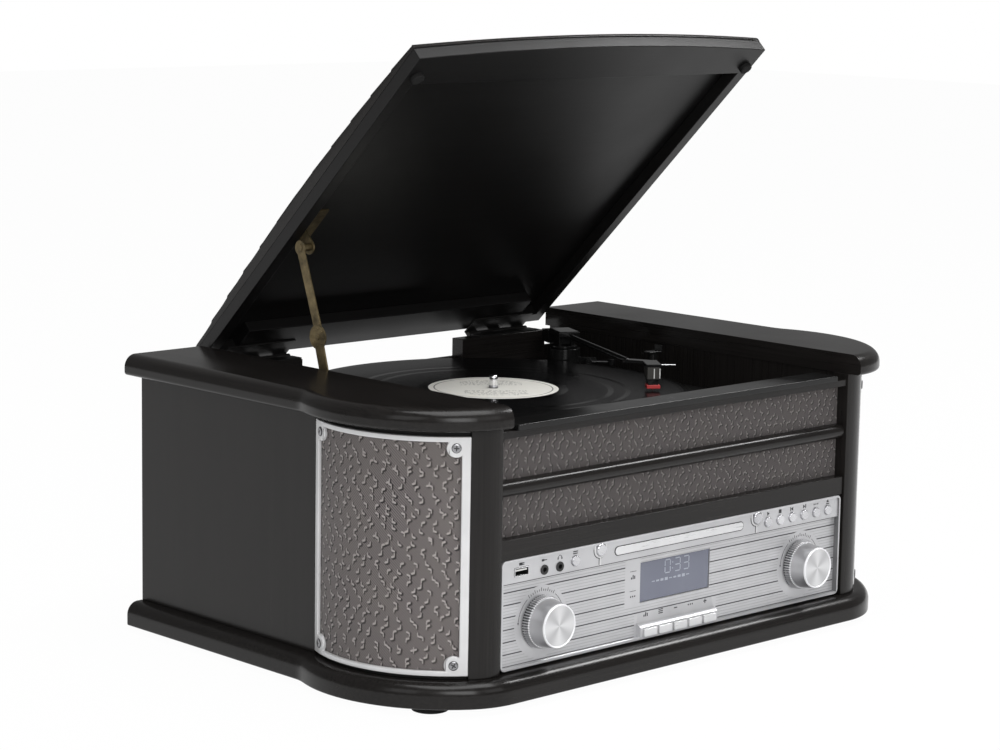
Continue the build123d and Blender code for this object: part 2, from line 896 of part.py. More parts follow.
tray_z = fascia_bottom + tray_height
key_xs = [(place - (key_count - 1) / 2) * key_pitch for place in range(key_count)]
key_z = fascia_bottom + key_centre_height
button_places = [
    (disc_button_first_x + place * disc_button_pitch, fascia_bottom + disc_button_height)
    for place in range(disc_button_count)
]
function_place = (function_button_x, fascia_bottom + function_button_height)
jack_z = fascia_bottom + jack_height
usb_z = fascia_bottom + usb_height
knob_z = fascia_bottom + knob_height
with BuildPart() as fascia:
    with BuildSketch(front_plane(frame_front_depth)):
        with Locations((0, (fascia_bottom + fascia_top) / 2)):
            RectangleRounded(2 * fascia_half_width, fascia_height, fascia_round)
    extrude(amount=rim_front_depth - frame_front_depth)
    with BuildSketch(front_plane(strip_front_depth)):
        with Locations((0, (fascia_bottom + fascia_top) / 2)):
            RectangleRounded(
                2 * (fascia_half_width - fascia_rim),
                fascia_height - 2 * fascia_rim,
                fascia_round - fascia_rim,
            )
    extrude(amount=rim_front_depth - strip_front_depth, mode=Mode.SUBTRACT)
    box_between(
        (-fascia_half_width + fascia_rim, stripe_front_depth, fascia_bottom + fascia_rim),
        (fascia_half_width - fascia_rim, rim_front_depth, strip_bottom),
        mode=Mode.SUBTRACT,
    )
    with BuildSketch(side_plane(-housing_half_width)):
        with BuildLine():
            Polyline(
                (ahead(frame_front_depth), fascia_bottom + fascia_rim),
                (ahead(housing_front_depth), fascia_bottom + fascia_rim),
                (ahead(housing_front_depth), fascia_bottom + housing_top - housing_slope),
                (ahead(stripe_front_depth), fascia_bottom + housing_top),
                (ahead(frame_front_depth), fascia_bottom + housing_top),
                close=True,
            )
        make_face()
    extrude(amount=2 * housing_half_width)
    for side in (-1, 1):
        stud_front_depth = strip_front_depth + stud_height
        forward(side * stud_x, fascia_top - stud_drop, strip_front_depth, stud_front_depth, stud_radius)
    dome_edges = fascia.edges().filter_by(GeomType.CIRCLE).group_by(Axis.Y)[0]
    fillet(dome_edges, stud_round)
    with BuildSketch(front_plane(frame_front_depth)):
        with Locations((0, tray_z)):
            SlotOverall(2 * (tray_half_width + fit_gap), tray_front_height + 2 * fit_gap)
        display_mid_z = fascia_bottom + (display_low + display_high) / 2
        with Locations(((display_left + display_right) / 2, display_mid_z)):
            Rectangle(display_right - display_left, display_high - display_low)
        with Locations(*[(x, key_z) for x in key_xs]):
            Rectangle(key_width + 2 * button_gap, key_height + 2 * button_gap)
        with Locations(*button_places, function_place):
            Circle(button_radius + button_gap)
        with Locations(*[(x, jack_z) for x in jack_positions]):
            Circle(jack_radius + skin_gap)
        with Locations((usb_x, usb_z)):
            Rectangle(usb_width + 2 * skin_gap, usb_tall + 2 * skin_gap)
        with Locations((-knob_x, knob_z), (knob_x, knob_z)):
            Circle(shaft_radius + fit_gap)
    extrude(amount=key_front_depth - frame_front_depth, mode=Mode.SUBTRACT)
save(fascia.part, "fascia")

circuit_front = frame_front_depth - board_depth_gap
circuit_back = circuit_front - circuit_thickness
button_front_depth = strip_front_depth + button_proud
button_back_depth = button_front_depth - button_length
with BuildPart() as control_board:
    box_between(
        (-board_half_width, circuit_back, opening_low + 2 * fit_gap),
        (board_half_width, circuit_front, opening_high - 2 * fit_gap),
    )
    guide_outer_x = tray_body_half_width + fit_gap + guide_wall
    guide_nose_low = tray_z - tray_body_height / 2 - fit_gap - chassis_thickness
    box_between(
        (-guide_outer_x - 2 * fit_gap, circuit_back, guide_nose_low - 2 * fit_gap),
        (guide_outer_x + 2 * fit_gap, circuit_front, opening_high),
        mode=Mode.SUBTRACT,
    )
    boss_x = board_half_width - 2 * boss_radius
    boss_low = opening_low + 2 * boss_radius
    boss_mid = knob_z + (knob_z - boss_low)
    for x in (-boss_x, boss_x):
        for z in (boss_low, boss_mid):
            forward(x, z, circuit_front, frame_front_depth, boss_radius)
    for x in (-knob_x, knob_x):
        pot_back = circuit_back - pot_length
        forward(x, knob_z, pot_back, circuit_back, pot_radius)
        forward(x, knob_z, circuit_back, frame_front_depth, bushing_radius)
        forward(x, knob_z, pot_back, frame_front_depth, shaft_radius + running_gap, mode=Mode.SUBTRACT)
    for x, z in [*button_places, function_place]:
        forward(x, z, circuit_front, button_back_depth - button_travel - fit_gap, switch_radius)
save(control_board.part, "control_board")

display_front = stripe_front_depth - display_set_back
with BuildPart() as display:
    box_between(
        (display_left + fit_gap, circuit_front, fascia_bottom + display_low + fit_gap),
        (display_right - fit_gap, display_front, fascia_bottom + display_high - fit_gap),
    )
save(display.part, "display")

socket_front = strip_front_depth + socket_proud
usb_roof = usb_z + usb_tall / 2 - usb_wall
tongue_half = usb_width / 2 - 2 * usb_wall
with BuildPart() as front_sockets:
    box_between(
        (usb_x - usb_width / 2, circuit_front, usb_z - usb_tall / 2),
        (usb_x + usb_width / 2, socket_front, usb_z + usb_tall / 2),
    )
    box_between(
        (usb_x - usb_width / 2 + usb_wall, circuit_front + usb_wall, usb_z - usb_tall / 2 + usb_wall),
        (usb_x + usb_width / 2 - usb_wall, socket_front, usb_z + usb_tall / 2 - usb_wall),
        mode=Mode.SUBTRACT,
    )
    box_between(
        (usb_x - tongue_half, circuit_front, usb_roof - usb_tongue),
        (usb_x + tongue_half, socket_front - usb_wall, usb_roof - usb_wall),
    )
    for x in jack_positions:
        forward(x, jack_z, circuit_front, socket_front + socket_proud, jack_radius)
        bore_back = socket_front + socket_proud - jack_bore_length
        forward(x, jack_z, bore_back, socket_front + socket_proud, jack_bore_radius, mode=Mode.SUBTRACT)
save(front_sockets.part, "front_sockets")

# ---------------------------------------------------------------- Knobs, keys and buttons

with BuildPart() as knob:
    with BuildSketch(Plane.YZ):
        with BuildLine():
            Polyline(
                (ahead(shaft_depth), 0),
                (ahead(shaft_depth), shaft_radius),
                (ahead(knob_back_depth), shaft_radius),
                (ahead(knob_back_depth), knob_skirt_radius),
                (ahead(knob_back_depth + knob_skirt_height), knob_skirt_radius),
                (ahead(knob_front_depth - knob_bevel), knob_rim_radius),
                (ahead(knob_front_depth), knob_face_radius),
                (ahead(knob_front_depth), knob_face_radius - knob_dish),
                (ahead(knob_front_depth - knob_dish), knob_face_radius - 2 * knob_dish),
                (ahead(knob_front_depth - knob_dish), 0),
                close=True,
            )
        make_face()
    revolve(axis=Axis.Y)
save(Pos(-knob_x, 0, knob_z) * knob.part, "volume_knob")
save(Pos(knob_x, 0, knob_z) * knob.part, "tuning_knob")

for number, x in enumerate(key_xs, start=1):
    with BuildPart() as key:
        box_between(
            (x - key_width / 2, key_front_depth - key_length, key_z - key_height / 2),
            (x + key_width / 2, key_front_depth, key_z + key_height / 2),
        )
        fillet(key.faces().sort_by(Axis.Y)[0].edges(), key_round)
    save(key.part, f"key_{number}")

button_names = [f"disc_button_{number}" for number in range(1, disc_button_count + 1)]
for name, place in [*zip(button_names, button_places), ("function_button", function_place)]:
    with BuildPart() as button:
        forward(place[0], place[1], button_back_depth, button_front_depth, button_radius)
        fillet(button.edges().filter_by(GeomType.CIRCLE).group_by(Axis.Y)[0], button_round)
    save(button.part, name)

# ---------------------------------------------------------------- Disc drawer

tray_low = tray_z - tray_body_height / 2
tray_high = tray_z + tray_body_height / 2
tray_front_depth = strip_front_depth + tray_front_proud
disc_centre_depth = tray_back_depth + tray_body_half_width
with BuildPart() as cd_tray:
    box_between(
        (-tray_body_half_width, tray_back_depth, tray_low),
        (tray_body_half_width, tray_front_depth - tray_front_length / 2, tray_high),
    )
    with BuildSketch(front_plane(tray_front_depth - tray_front_length)):
        with Locations((0, tray_z)):
            SlotOverall(2 * tray_half_width, tray_front_height)
    extrude(amount=tray_front_length)
    recess_low = tray_high - disc_recess
    upright(0, disc_centre_depth, recess_low, tray_z + tray_front_height, disc_radius, mode=Mode.SUBTRACT)
    box_between(
        (-laser_slot_half_width, tray_back_depth + tray_body_height, tray_low),
        (laser_slot_half_width, disc_centre_depth + laser_slot_half_width, tray_high),
        mode=Mode.SUBTRACT,
    )
save(cd_tray.part, "cd_tray")

guide_inner_x = tray_body_half_width + fit_gap
chassis_top = tray_low - guide_rise + chassis_thickness
with BuildPart() as cd_mechanism:
    for side in (-1, 1):
        box_between(
            (side * guide_inner_x, guide_back_depth, chassis_top),
            (side * guide_outer_x, guide_body_depth, tray_high + guide_top_margin),
        )
        box_between(
            (side * guide_inner_x, guide_body_depth, guide_nose_low),
            (side * guide_outer_x, guide_front_depth, tray_high + guide_top_margin),
        )
        box_between(
            (side * (guide_inner_x - guide_ledge), guide_back_depth, guide_nose_low),
            (side * guide_outer_x, guide_front_depth, tray_low - fit_gap),
        )
        for depth in (guide_back_depth + chassis_leg_inset, guide_body_depth - chassis_leg_inset):
            leg_x = side * (guide_outer_x - chassis_leg_margin)
            upright(leg_x, depth, plinth_top, chassis_top, chassis_leg_radius)
    box_between(
        (-guide_outer_x, guide_back_depth, chassis_top - chassis_thickness),
        (guide_outer_x, guide_body_depth, chassis_top),
    )
    upright(0, disc_centre_depth, chassis_top - chassis_thickness, tray_low - 2 * fit_gap, hub_radius)
save(cd_mechanism.part, "cd_mechanism")

# ---------------------------------------------------------------- Turntable

motor_turn = radians(motor_bearing)
motor_x = spindle_x + motor_distance * cos(motor_turn)
motor_depth = spindle_depth - motor_distance * sin(motor_turn)
spindle_low = deck_top - bearing_depth - deck_thickness
shaft_bore_radius = spindle_shaft_radius + running_gap
deck_bottom = deck_top - deck_thickness
selector_slot_half = selector_stem / 2 + fit_gap
selector_run = selector_travel + selector_slot_half
with BuildPart() as deck_plate:
    box_between(
        (-well_half_width, rear_panel_front, deck_bottom),
        (well_half_width, frame_back_depth, deck_top),
    )
    upright(spindle_x, spindle_depth, spindle_low, deck_top, bearing_radius)
    upright(spindle_x, spindle_depth, spindle_low, deck_top, shaft_bore_radius, mode=Mode.SUBTRACT)
    upright(motor_x, motor_depth, deck_bottom, deck_top, motor_hole_radius, mode=Mode.SUBTRACT)
    box_between(
        (selector_x - selector_slot_half, selector_depth - selector_run, deck_bottom),
        (selector_x + selector_slot_half, selector_depth + selector_run, deck_top),
        mode=Mode.SUBTRACT,
    )
save(deck_plate.part, "deck_plate")

with BuildPart() as motor:
    motor_low = deck_bottom - motor_length
    upright(motor_x, motor_depth, motor_low, deck_bottom, motor_radius)
    motor_bore_radius = motor_shaft_radius + running_gap
    upright(motor_x, motor_depth, motor_low, deck_bottom, motor_bore_radius, mode=Mode.SUBTRACT)
save(motor.part, "motor")

belt_mid = deck_top + platter_lift - platter_thickness - pulley_height / 2 - fit_gap
pulley_low = belt_mid - pulley_height / 2
with BuildPart() as motor_pulley:
    upright(motor_x, motor_depth, pulley_low, pulley_low + pulley_height, pulley_radius)
    upright(motor_x, motor_depth, motor_low + motor_length / 2, pulley_low, motor_shaft_radius)
save(motor_pulley.part, "motor_pulley")

platter_top = deck_top + platter_lift
platter_low = platter_top - platter_thickness
hole_radius = spindle_radius + running_gap
with BuildPart() as platter:
    upright(spindle_x, spindle_depth, platter_low, platter_top, platter_radius)
    upright(spindle_x, spindle_depth, pulley_low, platter_low, platter_radius)
    rim_inner = platter_radius - platter_rim
    upright(spindle_x, spindle_depth, pulley_low, platter_low, rim_inner, mode=Mode.SUBTRACT)
    upright(spindle_x, spindle_depth, pulley_low, platter_low, belt_rim_radius)
    belt_rim_inner = belt_rim_radius - belt_rim_wall
    upright(spindle_x, spindle_depth, pulley_low, platter_low, belt_rim_inner, mode=Mode.SUBTRACT)
    upright(spindle_x, spindle_depth, deck_top + thrust_gap, platter_low, platter_hub_radius)
    shaft_top = record_top + spindle_shaft_rise
    upright(spindle_x, spindle_depth, spindle_low, shaft_top, spindle_shaft_radius)
    upright(spindle_x, spindle_depth, shaft_top, record_top + spindle_stub, spindle_radius)
    spindle_tip = platter.faces().sort_by(Axis.Z)[-1]
    fillet(spindle_tip.edges(), spindle_tip_round)
save(platter.part, "platter")

with BuildPart() as slip_mat:
    mat_top = platter_top + mat_thickness
    upright(spindle_x, spindle_depth, platter_top, mat_top, mat_radius)
    upright(spindle_x, spindle_depth, platter_top, mat_top, hole_radius, mode=Mode.SUBTRACT)
save(slip_mat.part, "slip_mat")

with BuildPart() as record:
    record_low = record_top - record_thickness
    upright(spindle_x, spindle_depth, record_low, record_top, record_radius)
    fillet(record.edges(), record_edge_round)
    upright(spindle_x, spindle_depth, record_low, record_top, hole_radius, mode=Mode.SUBTRACT)
save(record.part, "record")

# The belt runs round the platter's inner rim and the motor pulley
rim_loop = belt_rim_radius + belt_gap
pulley_loop = pulley_radius + belt_gap
lap = degrees(atan2(sqrt(motor_distance ** 2 - (rim_loop - pulley_loop) ** 2), rim_loop - pulley_loop))


def belt_outline(grow):
    """Loop round both wheels, larger by grow."""
    rim = (spindle_x, ahead(spindle_depth))
    small = (motor_x, ahead(motor_depth))
    with BuildLine() as loop:
        wide = CenterArc(rim, rim_loop + grow, motor_bearing + lap, 360 - 2 * lap)
        tight = CenterArc(small, pulley_loop + grow, motor_bearing - lap, 2 * lap)
        Line(wide @ 1, tight @ 0)
        Line(tight @ 1, wide @ 0)
    make_face(loop.edges())


with BuildPart() as drive_belt:
    with BuildSketch(Plane.XY.offset(belt_mid - belt_height / 2)):
        belt_outline(belt_thickness)
    extrude(amount=belt_height)
    with BuildSketch(Plane.XY.offset(belt_mid - belt_height / 2)):
        belt_outline(0)
    extrude(amount=belt_height, mode=Mode.SUBTRACT)
save(drive_belt.part, "drive_belt")

selector_low = deck_bottom - thrust_gap
selector_left = selector_x - selector_width / 2
selector_right = selector_x + selector_width / 2
selector_back = selector_depth - selector_length / 2
selector_front = selector_depth + selector_length / 2
stem_half = selector_stem / 2
with BuildPart() as speed_switch:
    box_between(
        (selector_left, selector_back, deck_top + thrust_gap),
        (selector_right, selector_front, deck_top + selector_height),
    )
    fillet(speed_switch.edges().group_by(Axis.Z)[-1], selector_round)
    box_between(
        (selector_x - stem_half, selector_depth - stem_half, selector_low),
        (selector_x + stem_half, selector_depth + stem_half, deck_top + selector_height / 2),
    )
    box_between(
        (selector_left, selector_back, selector_low - selector_flange),
        (selector_right, selector_front, selector_low),
    )
save(speed_switch.part, "speed_switch")

# ---------------------------------------------------------------- Tonearm

arm_base_top = deck_top + arm_base_height
yoke_low = arm_base_top + thrust_gap
lift_axis_z = yoke_low + lift_axis_rise
tube_z = yoke_low + arm_tube_rise
arm_turn = radians(arm_angle)


def arm_point(along):
    """Plan point (x, depth) at a distance along the arm from its pivot."""
    return (arm_x - along * sin(arm_turn), arm_depth + along * cos(arm_turn))


def arm_frame(along, z):
    """Plane on the arm: local x to the arm's right, local y back towards the pivot."""
    x, depth = arm_point(along)
    return Plane(origin=(x, ahead(depth), z), x_dir=(cos(arm_turn), -sin(arm_turn), 0), z_dir=(0, 0, 1))


def head_frame(along, z):
    """Plane on the headshell: local x to its right, local y to its rear."""
    turn = radians(head_angle)
    x = head_x - along * sin(turn)
    depth = head_depth + along * cos(turn)
    return Plane(origin=(x, ahead(depth), z), x_dir=(cos(turn), -sin(turn), 0), z_dir=(0, 0, 1))


rest_turn = radians(rest_angle - arm_angle)
rest_x = arm_x + rest_reach * sin(rest_turn)
rest_depth = arm_depth + rest_reach * cos(rest_turn)
rest_top = tube_z - arm_tube_radius - rest_gap
lever_turn = radians(lever_bearing)
lever_z = deck_top + lever_height
arm_bore_radius = arm_pin_radius + running_gap
lug_reach = arm_base_radius + lug_length
with BuildPart() as tonearm_base:
    upright(arm_x, arm_depth, deck_top, arm_base_top, arm_base_radius)
    lug_plane = Plane(
        origin=(arm_x, ahead(arm_depth), lever_z),
        x_dir=(sin(lever_turn), -cos(lever_turn), 0),
        z_dir=(0, 0, 1),
    )
    with Locations(lug_plane.location * Location((arm_base_radius / 2, lug_width / 2 + running_gap, 0))):
        Box(lug_reach, lug_width / 2, lug_width, align=(Align.MIN, Align.MIN, Align.CENTER))
    arm_bore_low = arm_base_top - arm_pin_length - thrust_gap
    upright(arm_x, arm_depth, arm_bore_low, arm_base_top, arm_bore_radius, mode=Mode.SUBTRACT)
    with Locations(lug_plane.location * Location((lug_reach, lug_width + running_gap, 0), (90, 0, 0))):
        Cylinder(lever_pin_radius, 1.5 * lug_width, align=standing)
    upright(rest_x, rest_depth, deck_top, rest_top - rest_gap, rest_radius)
    rest_plane = Plane(
        origin=(rest_x, ahead(rest_depth), rest_top),
        x_dir=(cos(rest_turn), -sin(rest_turn), 0),
        z_dir=(0, 0, 1),
    )
    with Locations(rest_plane.location):
        Box(rest_cradle_width, 2 * rest_radius, 3 * rest_gap, align=hanging)
    with Locations(rest_plane.location * Location((rest_cradle_width / 2, 0, -rest_gap))):
        Box(2 * rest_gap, 2 * rest_radius, rest_ear_height, align=(Align.MAX, Align.CENTER, Align.MIN))
save(tonearm_base.part, "tonearm_base")

with BuildPart() as cue_lever:
    hub = lug_plane.location * Location((lug_reach, lug_width / 2, 0), (90, 0, 0))
    with Locations(hub):
        Cylinder(2 * lever_radius, lug_width, align=standing)
    with Locations(lug_plane.location * Location((lug_reach, 0, 0), (0, 90, 0))):
        Cylinder(lever_radius, lever_reach - lug_length / 2, align=standing)
    with Locations(lug_plane.location * Location((lug_reach + lever_reach - lug_length / 2, 0, 0))):
        Cylinder(lever_knob_radius, lever_knob_height)
    with Locations(hub):
        Cylinder(
            lever_pin_radius + running_gap, 2 * lug_width,
            align=(Align.CENTER, Align.CENTER, Align.CENTER), mode=Mode.SUBTRACT,
        )
save(cue_lever.part, "cue_lever")

with BuildPart() as tonearm_yoke:
    upright(arm_x, arm_depth, yoke_low, yoke_low + yoke_disc, yoke_radius)
    upright(arm_x, arm_depth, arm_base_top - arm_pin_length, yoke_low, arm_pin_radius)
    for side in (-1, 1):
        cheek_x = side * (cheek_gap + cheek_thickness / 2)
        with Locations(arm_frame(0, yoke_low).location * Location((cheek_x, 0, 0))):
            Box(
                cheek_thickness, cheek_length, yoke_disc + cheek_height,
                align=standing,
            )
    with Locations(arm_frame(0, lift_axis_z).location * Location((0, 0, 0), (0, 90, 0))):
        Cylinder(lift_pin_radius, 2 * (cheek_gap + cheek_thickness))
save(tonearm_yoke.part, "tonearm_yoke")

cap_low = yoke_low + cap_rise
with BuildPart() as tonearm:
    with Locations(arm_frame(0, cap_low).location):
        Box(cap_width, cap_length, cap_height, align=standing)
    fillet(tonearm.edges().group_by(Axis.Z)[-1], cap_round)
    with Locations(arm_frame(0, cap_low).location):
        Box(
            2 * (cheek_gap - fit_gap), pivot_block_length, pivot_block_height,
            align=hanging,
        )
    with Locations(arm_frame(0, tube_z).location * Location((0, 0, 0), (90, 0, 0))):
        Cylinder(arm_tube_radius, arm_length, align=standing)
    with Locations(arm_frame(arm_length, tube_z).location):
        Sphere(arm_tube_radius)
    stub_z = lift_axis_z + arm_tube_radius / 2
    with Locations(arm_frame(0, stub_z).location * Location((0, 0, 0), (-90, 0, 0))):
        Cylinder(arm_tube_radius, weight_offset, align=standing)
    with Locations(arm_frame(-weight_offset, stub_z - arm_tube_radius).location):
        Box(weight_width, weight_length, weight_height)
    head_z = tube_z + arm_tube_radius - head_thickness / 2
    with Locations(head_frame(0, head_z).location):
        Box(head_width, head_length, head_thickness, align=hanging)
    neck_end = head_frame(neck_overlap - head_length / 2, head_z).origin
    elbow_x, elbow_depth = arm_point(arm_length)
    neck_run = neck_end - Vector(elbow_x, ahead(elbow_depth), head_z)
    neck_place = Plane(
        origin=(elbow_x, ahead(elbow_depth), head_z),
        x_dir=(neck_run.X, neck_run.Y, 0),
        z_dir=(0, 0, 1),
    )
    with Locations(neck_place.location):
        Box(neck_run.length, neck_width, head_thickness, align=(Align.MIN, Align.CENTER, Align.MAX))
    upright(elbow_x, elbow_depth, head_z - head_thickness, head_z, neck_width / 2)
    finger = head_frame(head_length / 4, head_z - head_thickness / 2)
    with Locations(finger.location * Location((head_width / 2 - finger_root, 0, 0))):
        Box(finger_length, finger_width, finger_thickness, align=(Align.MIN, Align.CENTER, Align.CENTER))
    with Locations(arm_frame(0, lift_axis_z).location * Location((0, 0, 0), (0, 90, 0))):
        Cylinder(lift_pin_radius + running_gap, 2 * cheek_gap, mode=Mode.SUBTRACT)
save(tonearm.part, "tonearm")

cartridge_top = head_z - head_thickness
body_low = cartridge_top - cartridge_height
body_along = (head_length - cartridge_length) / 2
guard_along = (head_length - guard_length) / 2
with BuildPart() as cartridge:
    with Locations(head_frame(body_along, cartridge_top).location):
        Box(cartridge_width, cartridge_length, cartridge_height, align=hanging)
    with Locations(head_frame(body_along, body_low).location):
        stylus_body_height = body_low - record_top - stylus_body_lift
        Box(stylus_body_width, stylus_body_length, stylus_body_height, align=hanging)
    with Locations(head_frame(guard_along + guard_nose, record_top + guard_lift).location):
        Box(guard_width, guard_length, guard_height, align=standing)
    with Locations(head_frame(guard_along, record_top + stylus_gap).location):
        Cylinder(stylus_radius, stylus_body_lift, align=standing)
save(cartridge.part, "cartridge")

# ---------------------------------------------------------------- Lid, closed and swung open

lid_axis = Axis((0, ahead(-hinge_behind), hinge_axis_z), (1, 0, 0))
lid_front_depth = lid_depth - lid_rear_overhang


def opened(shape):
    return shape.rotate(lid_axis, -lid_open_angle)


def lid_outline():
    """Plan of the lid: straight back and sides, bowed front."""
    with BuildLine() as outline:
        back = ahead(-lid_rear_overhang)
        front = ahead(lid_front_depth)
        ThreePointArc((-lid_half_width, front), (0, front - lid_bow), (lid_half_width, front))
        Line((lid_half_width, front), (lid_half_width, back))
        Line((lid_half_width, back), (-lid_half_width, back))
        Line((-lid_half_width, back), (-lid_half_width, front))
    make_face(outline.edges())


with BuildPart() as lid_frame:
    with BuildSketch(Plane.XY.offset(lid_bottom)):
        lid_outline()
    extrude(amount=lid_rail_height)
    box_between(
        (-lid_half_width + lid_side_rail, -lid_rear_overhang + lid_rear_rail, lid_bottom),
        (lid_half_width - lid_side_rail, lid_front_depth - lid_front_rail, lid_ceiling),
        mode=Mode.SUBTRACT,
    )
    for low_x, high_x in (
        (-lid_half_width + lid_side_rail, lid_rear_rail_left),
        (lid_rear_rail_right, lid_half_width - lid_side_rail),
    ):
        box_between(
            (low_x, -lid_rear_overhang + lid_side_rail, lid_bottom),
            (high_x, lid_rear_rail, lid_ceiling),
            mode=Mode.SUBTRACT,
        )
save(opened(lid_frame.part), "lid_frame")

with BuildPart() as lid_panel:
    with BuildSketch(Plane.XY.offset(lid_ceiling)):
        lid_outline()
    extrude(amount=lid_edge_thickness + lid_arch)
    with BuildSketch(Plane.YZ):
        with BuildLine():
            back = ahead(-lid_rear_overhang)
            front = ahead(lid_front_depth + lid_bow)
            edge_z = lid_ceiling + lid_edge_thickness
            Polyline((back, edge_z), (back, lid_ceiling), (front, lid_ceiling), (front, edge_z))
            ThreePointArc((front, edge_z), ((back + front) / 2, edge_z + lid_arch), (back, edge_z))
        make_face()
    extrude(amount=lid_half_width, both=True, mode=Mode.INTERSECT)
    crown = lid_panel.faces().filter_by(GeomType.CYLINDER).sort_by(Axis.Z)[-1]
    fillet(crown.edges(), lid_edge_round)
save(opened(lid_panel.part), "lid_panel")

with BuildPart() as lid_bumpers:
    bumper_depth = lid_front_depth - bumper_inset
    for side in (-1, 1):
        upright(side * bumper_x, bumper_depth, lid_bottom - bumper_height, lid_bottom, bumper_radius)
    fillet(lid_bumpers.edges().group_by(Axis.Z)[0], bumper_round)
save(opened(lid_bumpers.part), "lid_bumpers")

# ---------------------------------------------------------------- Hinges

hinge_y = ahead(-hinge_behind)
knuckle_pitch = hinge_width / knuckle_count
leaf_top = hinge_axis_z + knuckle_radius - hinge_block_drop


def knuckle_spans(centre, first):
    """X spans of every second knuckle of a hinge, from the first."""
    left = centre - hinge_width / 2
    spans = []
    for place in range(first, knuckle_count, 2):
        low = left + place * knuckle_pitch
        spans.append((low + knuckle_gap / 2, low + knuckle_pitch - knuckle_gap / 2))
    return spans


with BuildPart() as hinge_lower_leaves:
    for centre in (-hinge_x, hinge_x):
        box_between(
            (centre - hinge_width / 2, hinge_block_back, hinge_block_top),
            (centre + hinge_width / 2, leaf_reach, leaf_top),
        )
        for low, high in knuckle_spans(centre, 1):
            across(low, high, hinge_y, hinge_axis_z, knuckle_radius)
            box_between((low, -hinge_behind, hinge_block_top), (high, hinge_block_back, leaf_top))
        hinge_left = centre - hinge_width / 2
        across(hinge_left, hinge_left + hinge_width, hinge_y, hinge_axis_z, hinge_pin_radius)
save(hinge_lower_leaves.part, "hinge_lower_leaves")

with BuildPart() as hinge_upper_leaves:
    for centre in (-hinge_x, hinge_x):
        lug_back = -hinge_behind - knuckle_radius
        box_between(
            (centre - hinge_width / 2, lug_back, lid_bottom - leaf_thickness),
            (centre + hinge_width / 2, leaf_reach, lid_bottom),
        )
        for low, high in knuckle_spans(centre, 0):
            across(low, high, hinge_y, hinge_axis_z, knuckle_radius)
            box_between((low, lug_back, hinge_axis_z), (high, lug_back + leaf_thickness, lid_bottom))
            across(low, high, hinge_y, hinge_axis_z, hinge_pin_radius + running_gap, mode=Mode.SUBTRACT)
save(opened(hinge_upper_leaves.part), "hinge_upper_leaves")

# ---------------------------------------------------------------- Lid stay

closed_offset = (ahead(stay_lid_depth) - hinge_y, lid_bottom - stay_lid_drop - hinge_axis_z)
lid_pivot = (
    hinge_y + closed_offset[0] * cos(open_rad) + closed_offset[1] * sin(open_rad),
    hinge_axis_z - closed_offset[0] * sin(open_rad) + closed_offset[1] * cos(open_rad),
)
base_pivot = (ahead(stay_base_depth), deck_top + stay_base_height)


# The links are all but straight when the lid is open
open_reach = sqrt((lid_pivot[0] - base_pivot[0]) ** 2 + (lid_pivot[1] - base_pivot[1]) ** 2)
upper_link_length = open_reach + stay_slack - lower_link_length


def elbow_between(top, base):
    """Elbow point of the two links, on the front side of the line between their pivots."""
    reach = sqrt((top[0] - base[0]) ** 2 + (top[1] - base[1]) ** 2)
    along = (lower_link_length ** 2 - upper_link_length ** 2 + reach ** 2) / (2 * reach)
    out = sqrt(lower_link_length ** 2 - along ** 2)
    run = ((top[0] - base[0]) / reach, (top[1] - base[1]) / reach)
    return (base[0] + along * run[0] - out * run[1], base[1] + along * run[1] + out * run[0])


elbow = elbow_between(lid_pivot, base_pivot)
closed_top = (hinge_y + closed_offset[0], hinge_axis_z + closed_offset[1])
closed_elbow = elbow_between(closed_top, base_pivot)


def bearing(start, end):
    return degrees(atan2(end[1] - start[1], end[0] - start[0]))


def link(start, end, x_low, width, start_radius, end_radius):
    """Flat bar with round ends in the plane across X at x_low."""
    length = sqrt((end[0] - start[0]) ** 2 + (end[1] - start[1]) ** 2)
    with BuildSketch(side_plane(x_low)) as bar:
        with Locations(halfway(start, end)):
            Rectangle(length, width, rotation=bearing(start, end))
        with Locations(start):
            Circle(start_radius)
        with Locations(end):
            Circle(end_radius)
    extrude(bar.sketch, amount=stay_plate)


upper_low_x = stay_x - stay_plate / 2
upper_high_x = upper_low_x + stay_plate
lower_low_x = upper_low_x - stay_side_gap - stay_plate
lower_high_x = lower_low_x + stay_plate
stay_hole_radius = stay_pin_radius + running_gap
with BuildPart() as stay_upper_link:
    link(lid_pivot, elbow, upper_low_x, upper_link_width, link_end_radius, elbow_radius)
    across(upper_low_x, upper_high_x, *lid_pivot, stay_hole_radius, mode=Mode.SUBTRACT)
    across(upper_high_x, upper_high_x + centre_rivet_height, *elbow, centre_rivet_radius)
save(stay_upper_link.part, "stay_upper_link")

with BuildPart() as stay_lower_link:
    link(base_pivot, elbow, lower_low_x, lower_link_width, link_end_radius, disc_plate_radius)
    across(lower_low_x, lower_high_x, *base_pivot, stay_hole_radius, mode=Mode.SUBTRACT)
    across(lower_low_x - centre_rivet_height, lower_low_x, *elbow, centre_rivet_radius)
    across(lower_high_x, lower_high_x + stay_side_gap / 2, *elbow, centre_rivet_radius)
    for place in range(rivet_count):
        turn = radians(place * 360 / rivet_count)
        rivet_y = elbow[0] + rivet_ring_radius * cos(turn)
        rivet_z = elbow[1] + rivet_ring_radius * sin(turn)
        across(lower_low_x - rivet_height, lower_low_x, rivet_y, rivet_z, rivet_radius)
save(stay_lower_link.part, "stay_lower_link")

